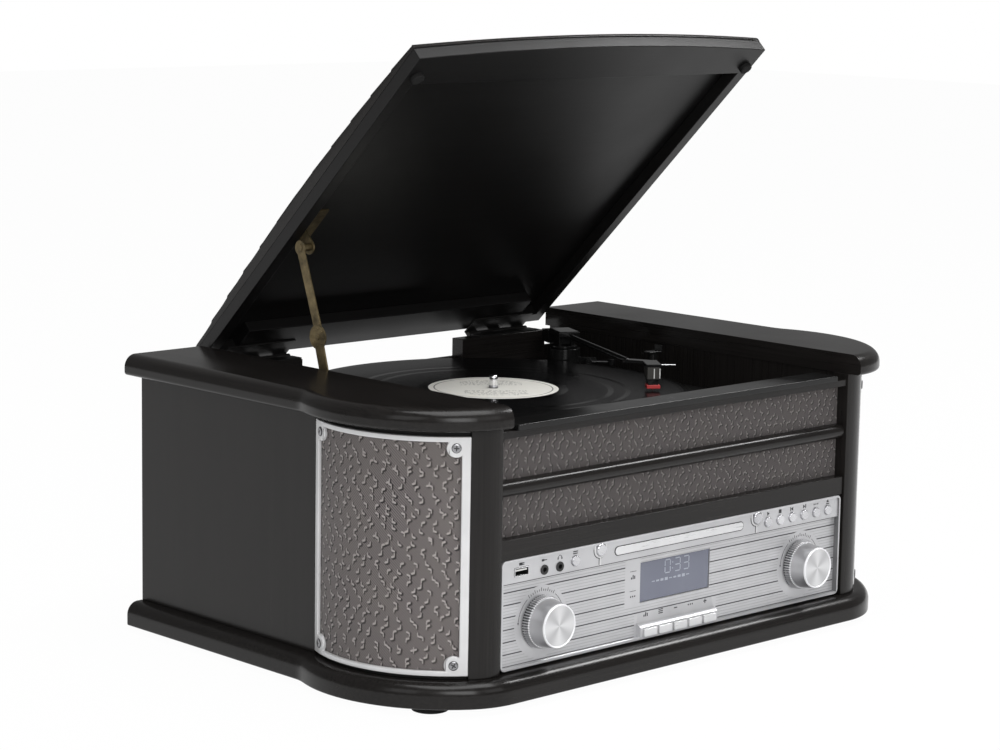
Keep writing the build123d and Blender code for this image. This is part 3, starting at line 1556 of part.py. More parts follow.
rail_inner_x = -lid_half_width + lid_side_rail
with BuildPart() as stay_bracket:
    box_between(
        (rail_inner_x, stay_lid_depth - bracket_length / 2, lid_ceiling - bracket_plate),
        (rail_inner_x + bracket_width, stay_lid_depth + bracket_length / 2, lid_ceiling),
    )
    leg_low = lid_bottom - stay_lid_drop
    box_between(
        (rail_inner_x, stay_lid_depth - link_end_radius, leg_low),
        (rail_inner_x + bracket_plate, stay_lid_depth + link_end_radius, lid_ceiling),
    )
    across(rail_inner_x, rail_inner_x + bracket_plate, ahead(stay_lid_depth), leg_low, link_end_radius)
    shoulder_x = upper_high_x + axial_gap
    across(shoulder_x, rail_inner_x, ahead(stay_lid_depth), leg_low, 2 * stay_pin_radius)
    across(upper_low_x - axial_gap, shoulder_x, ahead(stay_lid_depth), leg_low, stay_pin_radius)
    head_x_high = upper_low_x - axial_gap
    across(head_x_high - stay_pin_head, head_x_high, ahead(stay_lid_depth), leg_low, stay_pin_head_radius)
save(opened(stay_bracket.part), "stay_bracket")

with BuildPart() as stay_base:
    base_face_x = lower_low_x - 2 * axial_gap
    box_between(
        (base_face_x - base_plate_thickness, stay_base_depth - base_plate_length / 2, deck_top),
        (base_face_x, stay_base_depth + base_plate_length / 2, base_pivot[1]),
    )
    across(base_face_x - base_plate_thickness, base_face_x, *base_pivot, link_end_radius)
    head_x_low = lower_high_x + axial_gap
    across(base_face_x, head_x_low, *base_pivot, stay_pin_radius)
    across(head_x_low, head_x_low + stay_pin_head, *base_pivot, stay_pin_head_radius)
save(stay_base.part, "stay_base")

# ---------------------------------------------------------------- Joint positions and travels

print("lid axis", 0, round(hinge_y, 4), round(hinge_axis_z, 4))
print("stay lid pivot", [round(value, 4) for value in lid_pivot])
print("stay base pivot", [round(value, 4) for value in base_pivot])
lower_swing = bearing(base_pivot, closed_elbow) - bearing(base_pivot, elbow)
upper_swing = bearing(closed_top, closed_elbow) - bearing(lid_pivot, elbow)
print("elbow", elbow, "closed elbow", closed_elbow)
print("lower swing", lower_swing, "upper swing", upper_swing)
print("spindle", spindle_x, round(ahead(spindle_depth), 4))
print("motor", motor_x, round(ahead(motor_depth), 4))
print("record top", record_top, "deck top", deck_top, "knob z", knob_z, "rear plane y", rear_plane_y)
print("arm pivot", arm_x, round(ahead(arm_depth), 4), "lift axis z", lift_axis_z)
print("travels: key", key_travel, "button", button_travel, "drawer", tray_travel, "selector", selector_travel)
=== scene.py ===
import bpy
import bmesh
from math import atan2, cos, degrees, hypot, pi, radians, sin
from mathutils import Matrix, Vector
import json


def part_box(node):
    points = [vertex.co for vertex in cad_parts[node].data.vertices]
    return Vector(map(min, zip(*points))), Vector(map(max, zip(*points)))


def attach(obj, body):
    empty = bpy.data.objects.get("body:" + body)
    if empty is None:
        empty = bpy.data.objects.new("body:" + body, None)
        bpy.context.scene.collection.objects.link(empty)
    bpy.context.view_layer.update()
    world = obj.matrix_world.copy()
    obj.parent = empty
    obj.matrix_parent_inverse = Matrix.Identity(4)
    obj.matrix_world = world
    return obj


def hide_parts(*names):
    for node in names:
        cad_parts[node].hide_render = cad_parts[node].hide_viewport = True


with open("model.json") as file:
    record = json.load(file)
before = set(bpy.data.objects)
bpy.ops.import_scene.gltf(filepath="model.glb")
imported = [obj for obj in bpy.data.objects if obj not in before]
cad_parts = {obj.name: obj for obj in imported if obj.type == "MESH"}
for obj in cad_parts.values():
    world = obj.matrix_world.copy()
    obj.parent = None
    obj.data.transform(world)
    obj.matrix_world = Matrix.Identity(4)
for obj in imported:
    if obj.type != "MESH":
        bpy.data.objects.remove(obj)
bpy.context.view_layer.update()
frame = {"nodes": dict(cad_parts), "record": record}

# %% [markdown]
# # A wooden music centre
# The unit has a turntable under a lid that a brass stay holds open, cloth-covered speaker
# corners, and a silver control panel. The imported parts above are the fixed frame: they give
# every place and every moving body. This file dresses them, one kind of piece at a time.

MM = 0.001
case_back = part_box("plinth")[1].y
print("case back at y =", round(case_back, 5), "m")


def at(x, depth, z):
    """A point from millimetres: across, forwards from the case's back, and up."""
    return Vector((x * MM, case_back - depth * MM, z * MM))


# %% [markdown]
# ## Camera
# The camera comes first, because everything is seen through it. A long lens from the front left, a
# little above the case, keeps the case's edges nearly parallel. Its three directions are written
# out, so no target object or constraint has to be kept in the file.

# %% Camera
back = Vector((-0.6835, -0.7125, 0.1589)).normalized()
right = Vector((0.7217, -0.6923, 0.0)).normalized()
up = back.cross(right)
roll = radians(0.99)
across_frame = right * cos(roll) + up * sin(roll)
up_frame = up * cos(roll) - right * sin(roll)
camera_data = bpy.data.cameras.new("Camera")
camera_data.lens = 98.946
camera_data.sensor_width = 36.0
camera = bpy.data.objects.new("Camera", camera_data)
turn = Matrix((across_frame, up_frame, back)).transposed().to_4x4()
camera.matrix_world = Matrix.Translation((-1.45526, -1.48735, 0.52793)) @ turn
bpy.context.scene.collection.objects.link(camera)
bpy.context.scene.camera = camera
bpy.context.scene.view_settings.view_transform = "Standard"
print("camera lens", camera_data.lens, "mm")

# %% [markdown]
# ## Working by hand, in code
# An operator acts on whatever is selected, so each step first clears the selection and then
# picks its own piece. Faces and edges are picked by their place and direction, which is how a
# person would click them.

# %% Selection helpers


def deselect():
    if bpy.context.object and bpy.context.object.mode != "OBJECT":
        bpy.ops.object.mode_set(mode="OBJECT")
    bpy.ops.object.select_all(action="DESELECT")


def pick(*pieces):
    """Selects these pieces alone; the first one is active."""
    deselect()
    for piece in pieces:
        piece.select_set(True)
    bpy.context.view_layer.objects.active = pieces[0]


def choose_all(piece):
    pick(piece)
    bpy.ops.object.mode_set(mode="EDIT")
    bpy.ops.mesh.select_all(action="SELECT")


def leave_edit():
    bpy.ops.object.mode_set(mode="OBJECT")


def settle(piece):
    """Puts the object's place, turn and size into its mesh."""
    pick(piece)
    bpy.ops.object.transform_apply(location=True, rotation=True, scale=True)


def apply_bevel(piece, width, steps=2, angle=30.0):
    """Rounds every edge sharper than the angle."""
    pick(piece)
    bevel = piece.modifiers.new("Edge rounding", "BEVEL")
    bevel.width = width * MM
    bevel.segments = steps
    bevel.limit_method = "ANGLE"
    bevel.angle_limit = radians(angle)
    bevel.use_clamp_overlap = False
    bpy.ops.object.modifier_apply(modifier=bevel.name)


def smooth(piece, angle=35.0):
    pick(piece)
    bpy.ops.object.shade_smooth_by_angle(angle=radians(angle))


def even_normals(piece):
    """Makes the large faces keep their flat shading beside small rounded edges."""
    weighted = piece.modifiers.new("Even shading", "WEIGHTED_NORMAL")
    weighted.keep_sharp = True
    weighted.weight = 100
    pick(piece)
    bpy.ops.object.modifier_apply(modifier=weighted.name)


def finish(piece, body, material=None, slot=None, nodes=(), angle=35.0):
    """Shades a piece, gives it its finish and puts it on the body that carries it."""
    smooth(piece, angle)
    even_normals(piece)
    if material is not None:
        piece.data.materials.clear()
        piece.data.materials.append(material)
    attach(piece, body)
    if nodes:
        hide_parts(*nodes)
    return piece


def paint(piece, material, test):
    """Gives the faces that pass the test a second finish."""
    if material.name not in piece.data.materials:
        piece.data.materials.append(material)
    index = piece.data.materials.find(material.name)
    count = 0
    for face in piece.data.polygons:
        if test(face.center, face.normal):
            face.material_index = index
            count += 1
    return count


# %% [markdown]
# ## Stage and light
# A black lacquered case is seen almost only by what it mirrors. Large soft lamps give the long
# pale streaks along its rounded edges; a white room gives the cut-out look. The room is white
# to the camera only, so that the lamps alone decide how bright the object is. The floor mixes
# that white with an ordinary pale surface, so it still shows the object's shadow.

# %% Stage


def start_material(name, colour=(0.8, 0.8, 0.8), roughness=0.5, metallic=0.0, **more):
    """A material with its shader's plain values set on the shader itself."""
    material = bpy.data.materials.new(name)
    material.use_nodes = True
    shader = material.node_tree.nodes["Principled BSDF"]
    shader.inputs["Base Color"].default_value = (*colour, 1.0)
    shader.inputs["Roughness"].default_value = roughness
    shader.inputs["Metallic"].default_value = metallic
    for socket, value in more.items():
        shader.inputs[socket.replace("_", " ")].default_value = value
    return material, material.node_tree, shader


def add_node(tree, kind, inputs=None, **settings):
    """Adds a node; an input is a plain value or another node's output."""
    made = tree.nodes.new("ShaderNode" + kind)
    for name, value in settings.items():
        setattr(made, name, value)
    for name, value in (inputs or {}).items():
        socket = made.inputs[name]
        if isinstance(value, bpy.types.NodeSocket):
            tree.links.new(value, socket)
        else:
            socket.default_value = value
    return made


def maths(tree, operation, first, second=0.0, third=None, clamp=False):
    inputs = {0: first, 1: second}
    if third is not None:
        inputs[2] = third
    return add_node(tree, "Math", inputs, operation=operation, use_clamp=clamp).outputs[0]


def mix_colours(tree, factor, first, second):
    mixed = add_node(tree, "Mix", {0: factor, 6: first, 7: second}, data_type="RGBA")
    return mixed.outputs[2]


def rgb(red, green, blue):
    return (red, green, blue, 1.0)


bpy.ops.mesh.primitive_plane_add(size=14.0, location=(0, 0, 0))
floor = bpy.context.object
floor.name = "Floor"
floor_material, tree, shader = start_material("White floor", (0.9, 0.9, 0.9), 0.7)
rays = add_node(tree, "LightPath")
seen = maths(tree, "MAXIMUM", rays.outputs["Is Camera Ray"], rays.outputs["Is Glossy Ray"])
seen = maths(tree, "MAXIMUM", seen, rays.outputs["Is Transmission Ray"])
glow = add_node(tree, "Emission", {"Color": rgb(1, 1, 1), "Strength": 1.0})
white = maths(tree, "MULTIPLY", seen, 0.975)
mixed = add_node(tree, "MixShader", {0: white, 1: shader.outputs[0], 2: glow.outputs[0]})
tree.links.new(mixed.outputs[0], tree.nodes["Material Output"].inputs["Surface"])
floor.data.materials.append(floor_material)

world = bpy.data.worlds.new("White room")
world.use_nodes = True
bpy.context.scene.world = world
tree = world.node_tree
rays = add_node(tree, "LightPath")
room = add_node(tree, "Background", {"Color": rgb(1, 1, 1), "Strength": 0.22})
backdrop = add_node(tree, "Background", {"Color": rgb(1, 1, 1), "Strength": 1.0})
seen = maths(tree, "MAXIMUM", rays.outputs["Is Camera Ray"], rays.outputs["Is Transmission Ray"])
mixed = add_node(tree, "MixShader", {0: seen, 1: room.outputs[0], 2: backdrop.outputs[0]})
tree.links.new(mixed.outputs[0], tree.nodes["World Output"].inputs["Surface"])


def add_lamp(name, place, target, size, size_y, watts):
    """A soft box: a rectangular lamp that faces a point."""
    lamp = bpy.data.lights.new(name, "AREA")
    lamp.shape = "RECTANGLE"
    lamp.size, lamp.size_y, lamp.energy = size, size_y, watts
    holder = bpy.data.objects.new(name, lamp)
    holder.location = place
    aim = Vector(target) - Vector(place)
    holder.rotation_euler = aim.to_track_quat("-Z", "Y").to_euler()
    bpy.context.scene.collection.objects.link(holder)


add_lamp("Top box", (-0.1, -0.55, 2.3), (0, 0, 0.2), 2.0, 1.4, 42)
add_lamp("Front box", (-0.9, -1.45, 0.8), (0.0, -0.1, 0.1), 0.8, 0.8, 11)
add_lamp("Far box", (0.5, -2.7, 1.4), (0.0, -0.1, 0.12), 1.5, 1.2, 6)
add_lamp("Left box", (-2.6, -0.8, 1.5), (-0.1, 0, 0.15), 1.2, 1.4, 7)
add_lamp("Right box", (1.9, -0.55, 2.05), (0.1, 0, 0.15), 0.6, 0.6, 22)

# %% [markdown]
# ## Shared surface effects
# Real finishes are never one even colour. Each effect below is a node group that is built once
# and placed in every finish that needs it. A group only hands out masks, values and heights;
# the shader stays in the material, where its gloss can be set by eye.

# %% Group helpers


def start_group(name, inputs, outputs):
    """A shader node group; inputs are (name, kind, value) and outputs are (name, kind)."""
    group = bpy.data.node_groups.new(name, "ShaderNodeTree")
    for label, kind, value in inputs:
        socket = group.interface.new_socket(
            name=label, in_out="INPUT", socket_type="NodeSocket" + kind
        )
        if value is not None:
            socket.default_value = value
    for label, kind in outputs:
        group.interface.new_socket(name=label, in_out="OUTPUT", socket_type="NodeSocket" + kind)
    source = group.nodes.new("NodeGroupInput").outputs
    sink = group.nodes.new("NodeGroupOutput").inputs
    return group, source, sink


def use_group(tree, group, inputs):
    placed = tree.nodes.new("ShaderNodeGroup")
    placed.node_tree = group
    for name, value in inputs.items():
        if isinstance(value, bpy.types.NodeSocket):
            tree.links.new(value, placed.inputs[name])
        else:
            placed.inputs[name].default_value = value
    return placed.outputs


def stretched_noise(tree, vector, scale, detail=3.0, roughness=0.55):
    """Noise drawn out along an axis: a small scale value runs long that way."""
    mapped = add_node(tree, "Mapping", {"Vector": vector, "Scale": scale})
    noise = add_node(
        tree, "TexNoise",
        {"Vector": mapped.outputs[0], "Scale": 1.0, "Detail": detail, "Roughness": roughness}
    )
    return noise.outputs["Fac"]


def remap(tree, value, low, high, to_low, to_high):
    ranged = add_node(
        tree, "MapRange",
        {"Value": value, "From Min": low, "From Max": high, "To Min": to_low, "To Max": to_high},
    )
    return ranged.outputs[0]


# %% [markdown]
# ### Lacquered grain
# The boards are sprayed black over an open grain, so fine long pores still show as dull
# threads, and hands leave broad patches of a slightly different gloss. Noise stretched along
# the board gives the pores and plain noise gives the patches.

# %% Grain group
grain_group, source, sink = start_group(
    "Lacquered grain",
    [("Vector", "Vector", None), ("Grain Stretch", "Vector", (8.0, 420.0, 420.0))],
    [("Tone", "Float"), ("Gloss", "Float"), ("Height", "Float")],
)
tree = grain_group
pores = stretched_noise(tree, source["Vector"], source["Grain Stretch"], 5.0, 0.6)
patches = stretched_noise(tree, source["Vector"], (9.0, 9.0, 9.0), 4.0, 0.6)
streaks = remap(tree, pores, 0.35, 0.75, 0.0, 1.0)
blend = maths(tree, "MULTIPLY_ADD", patches, 0.45, maths(tree, "MULTIPLY", streaks, 0.55))
tree.links.new(blend, sink["Tone"])
tree.links.new(remap(tree, patches, 0.3, 0.7, 0.0, 1.0), sink["Gloss"])
tree.links.new(streaks, sink["Height"])

# %% [markdown]
# ### Handled metal
# Silver paint and bare metal carry a fine rolled texture and faint smudges. The group returns
# a tone to vary the colour, a gloss to vary the roughness and a height for the bump.

# %% Metal group
metal_group, source, sink = start_group(
    "Handled metal",
    [("Vector", "Vector", None), ("Roll Stretch", "Vector", (60.0, 2400.0, 2400.0))],
    [("Tone", "Float"), ("Gloss", "Float"), ("Height", "Float")],
)
tree = metal_group
lines = stretched_noise(tree, source["Vector"], source["Roll Stretch"], 2.0)
smudge = stretched_noise(tree, source["Vector"], (26.0, 26.0, 26.0), 3.0)
tree.links.new(remap(tree, smudge, 0.3, 0.7, 0.0, 1.0), sink["Tone"])
tree.links.new(
    maths(tree, "MULTIPLY_ADD", lines, 0.5, maths(tree, "MULTIPLY", smudge, 0.5)), sink["Gloss"]
)
tree.links.new(lines, sink["Height"])

# %% [markdown]
# ### Moulded grain
# Moulded plastic and rubber come from a spark-etched tool, so their skin is a fine even pebble.
# Dust settles on it in broad soft patches, which the second output follows.

# %% Plastic group
moulded_group, source, sink = start_group(
    "Moulded grain",
    [("Vector", "Vector", None), ("Grain Size", "Float", 1500.0)],
    [("Dust", "Float"), ("Height", "Float")],
)
tree = moulded_group
pebbles = add_node(tree, "TexVoronoi", {"Vector": source["Vector"], "Scale": source["Grain Size"]})
dust = stretched_noise(tree, source["Vector"], (34.0, 34.0, 34.0), 5.0, 0.65)
tree.links.new(remap(tree, dust, 0.45, 0.8, 0.0, 1.0), sink["Dust"])
tree.links.new(pebbles.outputs["Distance"], sink["Height"])

# %% [markdown]
# ### Turned rings
# A turned or spun face is a set of very fine circles about its axis. The vector that comes in
# is already centred on the axis, in the plane of the face, so its length is the radius.

# %% Ring group
ring_group, source, sink = start_group(
    "Turned rings",
    [("Vector", "Vector", None), ("Pitch", "Float", 0.00035)],
    [("Radius", "Float"), ("Angle", "Float"), ("Ring", "Float"), ("Sheen", "Float")],
)
tree = ring_group
parts = add_node(tree, "SeparateXYZ", {0: source["Vector"]}).outputs
flat = add_node(tree, "CombineXYZ", {0: parts[0], 1: parts[1]}).outputs[0]
radius = add_node(tree, "VectorMath", {0: flat}, operation="LENGTH").outputs["Value"]
angle = maths(tree, "ARCTAN2", parts[1], parts[0])
turns = maths(tree, "DIVIDE", radius, source["Pitch"])
uneven = add_node(
    tree, "TexNoise", {"W": turns, "Scale": 1.0, "Detail": 2.0}, noise_dimensions="1D"
)
# Sheen is painted light: four bright and four dark sectors round the axis, a painted reflection of
# the kind a spun face shows.
painted_sheen = maths(
    tree, "MULTIPLY_ADD", maths(tree, "COSINE", maths(tree, "MULTIPLY", angle, 4.0)), 0.5, 0.5
)
tree.links.new(radius, sink["Radius"])
tree.links.new(angle, sink["Angle"])
tree.links.new(uneven.outputs["Fac"], sink["Ring"])
tree.links.new(painted_sheen, sink["Sheen"])

# %% [markdown]
# ### Figured twill
# The grille cloth is a grey twill with small raised hooks strewn over it. Each hook is a thin
# stroke and a fat one that meet at a bend, so the first group draws one stroke: full near a
# line, and fading out beside it.

# %% Stroke group
stroke_group, source, sink = start_group(
    "Yarn stroke",
    [
        ("Vector", "Vector", None), ("From", "Vector", (0.0, 0.2, 0.0)),
        ("Run", "Vector", (0.1, -0.3, 0.0)), ("Half Width", "Float", 0.07),
    ],
    [("Mask", "Float")],
)
tree = stroke_group
offset = add_node(
    tree, "VectorMath", {0: source["Vector"], 1: source["From"]}, operation="SUBTRACT"
).outputs[0]
along = add_node(
    tree, "VectorMath", {0: offset, 1: source["Run"]}, operation="DOT_PRODUCT"
).outputs["Value"]
whole = add_node(
    tree, "VectorMath", {0: source["Run"], 1: source["Run"]}, operation="DOT_PRODUCT"
).outputs["Value"]
share = maths(tree, "DIVIDE", along, whole, clamp=True)
nearest = add_node(tree, "VectorMath", {0: source["Run"], 3: share}, operation="SCALE").outputs[0]
gap = add_node(tree, "VectorMath", {0: offset, 1: nearest}, operation="DISTANCE").outputs["Value"]
soft = maths(tree, "MULTIPLY", source["Half Width"], 1.5)
tree.links.new(remap(tree, gap, source["Half Width"], soft, 1.0, 0.0), sink["Mask"])

# %% [markdown]
# Every cell of a staggered grid holds one hook, nudged and mirrored by chance. The same hook is
# drawn once more, fatter and a little lower to its right. That copy gives a painted shadow: the
# dark edge where the raised yarn would throw one.

# %% Hook group
hook_group, source, sink = start_group(
    "Raised hook",
    [("Vector", "Vector", None), ("Pitch", "Float", 8.0), ("Seed", "Float", 0.0)],
    [("Figure", "Float"), ("Shade", "Float")],
)
tree = hook_group
parts = add_node(tree, "SeparateXYZ", {0: source["Vector"]}).outputs
row_place = maths(tree, "DIVIDE", parts[1], source["Pitch"])
row = maths(tree, "FLOOR", row_place)
shift = maths(tree, "MULTIPLY", maths(tree, "FLOORED_MODULO", row, 2.0), 0.5)
column_place = maths(tree, "ADD", maths(tree, "DIVIDE", parts[0], source["Pitch"]), shift)
cell = add_node(
    tree, "CombineXYZ", {0: maths(tree, "FLOOR", column_place), 1: row, 2: source["Seed"]}
)
chance = add_node(tree, "TexWhiteNoise", {0: cell.outputs[0]}, noise_dimensions="3D")
inside_cell = add_node(
    tree, "CombineXYZ", {0: maths(tree, "FRACT", column_place), 1: maths(tree, "FRACT", row_place)}
)
nudge = add_node(
    tree, "VectorMath", {0: chance.outputs["Color"], 1: (0.36, 0.36, 0.0), 2: (-0.68, -0.68, 0.0)},
    operation="MULTIPLY_ADD"
)
local = add_node(
    tree, "VectorMath", {0: inside_cell.outputs[0], 1: nudge.outputs[0]}, operation="ADD"
)
four = maths(tree, "FLOOR", maths(tree, "MULTIPLY", chance.outputs["Value"], 4.0))
flip_x = maths(tree, "MULTIPLY_ADD", maths(tree, "FLOORED_MODULO", four, 2.0), 2.0, -1.0)
flip_y = maths(tree, "MULTIPLY_ADD", maths(tree, "GREATER_THAN", four, 1.5), 2.0, -1.0)
flips = add_node(tree, "CombineXYZ", {0: flip_x, 1: flip_y}).outputs[0]


def hook(shift_x, shift_y, half_width, label):
    """A thin stroke and a fat one that meet, pushed aside by a shift that does not flip."""
    pushed = add_node(
        tree, "VectorMath", {0: local.outputs[0], 1: (shift_x, shift_y, 0.0)}, operation="ADD"
    ).outputs[0]
    faced = add_node(tree, "VectorMath", {0: pushed, 1: flips}, operation="MULTIPLY").outputs[0]
    thin = {"From": (-0.07, 0.13, 0.0), "Run": (0.012, -0.2, 0.0), "Half Width": half_width}
    fat = {"From": (-0.02, -0.1, 0.0), "Run": (0.13, -0.05, 0.0), "Half Width": half_width * 2.0}
    first = use_group(tree, stroke_group, {"Vector": faced, **thin})
    second = use_group(tree, stroke_group, {"Vector": faced, **fat})
    tree.links.new(maths(tree, "MAXIMUM", first["Mask"], second["Mask"]), sink[label])


hook(0.0, 0.0, 0.033, "Figure")
hook(-0.08, 0.045, 0.054, "Shade")

# %% [markdown]
# The whole cloth is the twill's slanting ribs with two grids of hooks over them. The second
# grid is moved by half a pitch, so that its hooks fill the gaps of the first.

# %% Twill group
hook_pitch, half_way = 9.6, (4.8, 4.7, 0.0)
twill_group, source, sink = start_group(
    "Figured twill",
    [("Vector", "Vector", None), ("Thread", "Float", 2.0)],
    [(name, "Float") for name in ("Weave", "Figure", "Shade", "Fade", "Height")],
)
tree = twill_group
parts = add_node(tree, "SeparateXYZ", {0: source["Vector"]}).outputs
slope = maths(tree, "DIVIDE", maths(tree, "ADD", parts[0], parts[1]), source["Thread"])
cross = maths(tree, "DIVIDE", maths(tree, "SUBTRACT", parts[0], parts[1]), source["Thread"])
ribs = maths(tree, "SINE", maths(tree, "MULTIPLY", slope, 2 * pi))
picks = maths(tree, "SINE", maths(tree, "MULTIPLY", cross, 3 * pi))
weave = maths(
    tree, "MULTIPLY_ADD", maths(tree, "MULTIPLY", ribs, picks), 0.34,
    maths(tree, "MULTIPLY_ADD", ribs, 0.34, 0.5)
)
slub = stretched_noise(tree, source["Vector"], (1.1, 1.1, 1.1), 2.0, 0.7)
weave = maths(tree, "MULTIPLY_ADD", slub, 0.35, maths(tree, "MULTIPLY_ADD", weave, 1.0, -0.08))
first = use_group(tree, hook_group, {"Vector": source["Vector"], "Pitch": hook_pitch, "Seed": 1.0})
moved = add_node(
    tree, "VectorMath", {0: source["Vector"], 1: half_way}, operation="ADD"
).outputs[0]
second = use_group(tree, hook_group, {"Vector": moved, "Pitch": hook_pitch, "Seed": 7.0})
figure = maths(tree, "MAXIMUM", first["Figure"], second["Figure"])
shade = maths(tree, "MAXIMUM", first["Shade"], second["Shade"])
tree.links.new(weave, sink["Weave"])
tree.links.new(figure, sink["Figure"])
tree.links.new(maths(tree, "SUBTRACT", shade, figure, clamp=True), sink["Shade"])
tree.links.new(stretched_noise(tree, source["Vector"], (0.03, 0.03, 0.03), 2.0), sink["Fade"])
tree.links.new(
    maths(tree, "MULTIPLY_ADD", figure, 1.0, maths(tree, "MULTIPLY", weave, 0.35)), sink["Height"]
)
print("node groups:", [group.name for group in bpy.data.node_groups])

# %% [markdown]
# ## Finishes
# Each finish places a group, mixes two near colours by its tone, and lets the same values
# disturb the roughness and the bump. Object coordinates are used throughout, because each
# piece keeps its place in its mesh; the cloths use their own UV map, which follows the curve.

# %% Finish helpers


def place_of(tree, centre=None, turn=(0.0, 0.0, 0.0)):
    """Object coordinates, moved to a centre and turned if asked."""
    coordinates = add_node(tree, "TexCoord").outputs["Object"]
    if centre is None:
        return coordinates
    moved = add_node(
        tree, "VectorMath", {0: coordinates, 1: centre}, operation="SUBTRACT"
    ).outputs[0]
    return add_node(tree, "Mapping", {"Vector": moved, "Rotation": turn}).outputs[0]


def bump(tree, shader, height, distance, strength=1.0):
    made = add_node(
        tree, "Bump", {"Height": height, "Distance": distance * MM, "Strength": strength}
    )
    tree.links.new(made.outputs[0], shader.inputs["Normal"])


def lacquer(
    name, along, dark=(0.0062, 0.0055, 0.0052), pale=(0.017, 0.0152, 0.0142), gloss=(0.17, 0.27)
):
    """Black lacquer over grain that runs along one axis."""
    material, tree, shader = start_material(name, dark, 0.22, Specular_IOR_Level=0.25)
    stretch = tuple(9.0 if axis == along else 430.0 for axis in "XYZ")
    grain = use_group(tree, grain_group, {"Vector": place_of(tree), "Grain Stretch": stretch})
    tree.links.new(
        mix_colours(tree, grain["Tone"], rgb(*dark), rgb(*pale)), shader.inputs["Base Color"]
    )
    tree.links.new(remap(tree, grain["Gloss"], 0.0, 1.0, *gloss), shader.inputs["Roughness"])
    bump(tree, shader, grain["Height"], 0.012, 0.5)
    return material


def silver(
    name, dark, pale, rough=(0.28, 0.4), metallic=0.3, stretch=(60.0, 2400.0, 2400.0), depth=0.004
):
    material, tree, shader = start_material(name, pale, 0.34, metallic)
    skin = use_group(tree, metal_group, {"Vector": place_of(tree), "Roll Stretch": stretch})
    tree.links.new(
        mix_colours(tree, skin["Tone"], rgb(*dark), rgb(*pale)), shader.inputs["Base Color"]
    )
    tree.links.new(remap(tree, skin["Gloss"], 0.3, 0.7, *rough), shader.inputs["Roughness"])
    bump(tree, shader, skin["Height"], depth)
    return material


def moulded(name, colour, dusty, rough=0.45, grain=1500.0, depth=0.02, dust=0.5, **more):
    material, tree, shader = start_material(name, colour, rough, **more)
    skin = use_group(tree, moulded_group, {"Vector": place_of(tree), "Grain Size": grain})
    veil = maths(tree, "MULTIPLY", skin["Dust"], dust)
    tree.links.new(mix_colours(tree, veil, rgb(*colour), rgb(*dusty)), shader.inputs["Base Color"])
    tree.links.new(maths(tree, "MULTIPLY_ADD", veil, 0.25, rough), shader.inputs["Roughness"])
    bump(tree, shader, skin["Height"], depth, 0.6)
    return material


# %% [markdown]
# ### The plain finishes
# Most pieces need no more than one of the three recipes above with its own values: lacquer for
# the wood, silver for paint and bare metal, moulded for plastic and rubber.

# %% Plain finishes
wood_across = lacquer("Black lacquer, grain across", "X")
wood_deep = lacquer("Black lacquer, grain front to back", "Y")
wood_upright = lacquer("Black lacquer, grain upright", "Z")
# The lid's inside and its frame get a darker copy of the lacquer: painted shade, with a duller
# gloss.
lid_inside_shaded = lacquer(
    "Black lacquer, lid inside, painted shade", "X", (0.0045, 0.0043, 0.0043), (0.009, 0.0085, 0.0085),
    (0.34, 0.44)
)
silver_paint = silver("Silver paint", (0.62, 0.62, 0.625), (0.73, 0.73, 0.735))
panel_silver = silver("Panel silver", (0.52, 0.52, 0.535), (0.61, 0.61, 0.625), (0.32, 0.42), 0.6)
# A dark silver, used as painted shade on the fascia.
shaded_silver = silver("Shaded silver", (0.1, 0.1, 0.105), (0.16, 0.16, 0.165), (0.5, 0.6), 0.1)
key_silver = silver("Key silver", (0.62, 0.62, 0.63), (0.72, 0.72, 0.73), (0.25, 0.36), 0.3)
bright_steel = silver("Bright steel", (0.5, 0.5, 0.52), (0.72, 0.72, 0.74), (0.14, 0.26), 0.9)
screw_steel = silver("Screw steel", (0.24, 0.24, 0.25), (0.42, 0.42, 0.43), (0.2, 0.34), 0.85)
# Dark steel for the mechanism, also used as painted shade in the knobs' grooves.
dark_steel_and_shade = silver("Dark steel, also painted shade", (0.05, 0.05, 0.052), (0.09, 0.09, 0.092), (0.3, 0.45), 0.7)
cast_metal = silver("Cast platter", (0.3, 0.3, 0.31), (0.42, 0.42, 0.43), (0.3, 0.42), 0.8)
pulley_metal = silver("Turned brass", (0.45, 0.3, 0.1), (0.6, 0.44, 0.2), (0.2, 0.3), 0.9)
# A near-white finish, used as painted highlight on the knobs' beads and rims.
painted_highlight = silver("Polished edge, painted highlight", (0.75, 0.75, 0.77), (0.88, 0.88, 0.9), (0.2, 0.3), 0.1)
gloss_black = moulded(
    "Gloss black", (0.007, 0.007, 0.007), (0.02, 0.02, 0.02), 0.14, 900.0, 0.002, 0.35,
    Specular_IOR_Level=0.28
)
black_plastic = moulded(
    "Black plastic", (0.014, 0.014, 0.0145), (0.045, 0.044, 0.042), 0.42, 1700.0, 0.03
)
deck_black = moulded(
    "Deck black", (0.008, 0.008, 0.008), (0.03, 0.028, 0.026), 0.34, 1300.0, 0.05, 0.35
)
rubber = moulded(
    "Rubber", (0.009, 0.009, 0.009), (0.03, 0.029, 0.028), 0.8, 1200.0, 0.04, Specular_IOR_Level=0.2
)
black_board = moulded(
    "Blackened fibreboard", (0.008, 0.0078, 0.0075), (0.03, 0.026, 0.022), 0.8, 900.0, 0.06, 0.6
)
board_green = moulded(
    "Circuit board", (0.02, 0.11, 0.04), (0.04, 0.16, 0.07), 0.35, 700.0, 0.01, 1.0
)
cone_paper = moulded("Cone paper", (0.03, 0.03, 0.03), (0.07, 0.07, 0.07), 0.8, 900.0, 0.08)
cartridge_grey = moulded(
    "Cartridge grey", (0.032, 0.03, 0.027), (0.07, 0.068, 0.062), 0.32, 1500.0, 0.01
)
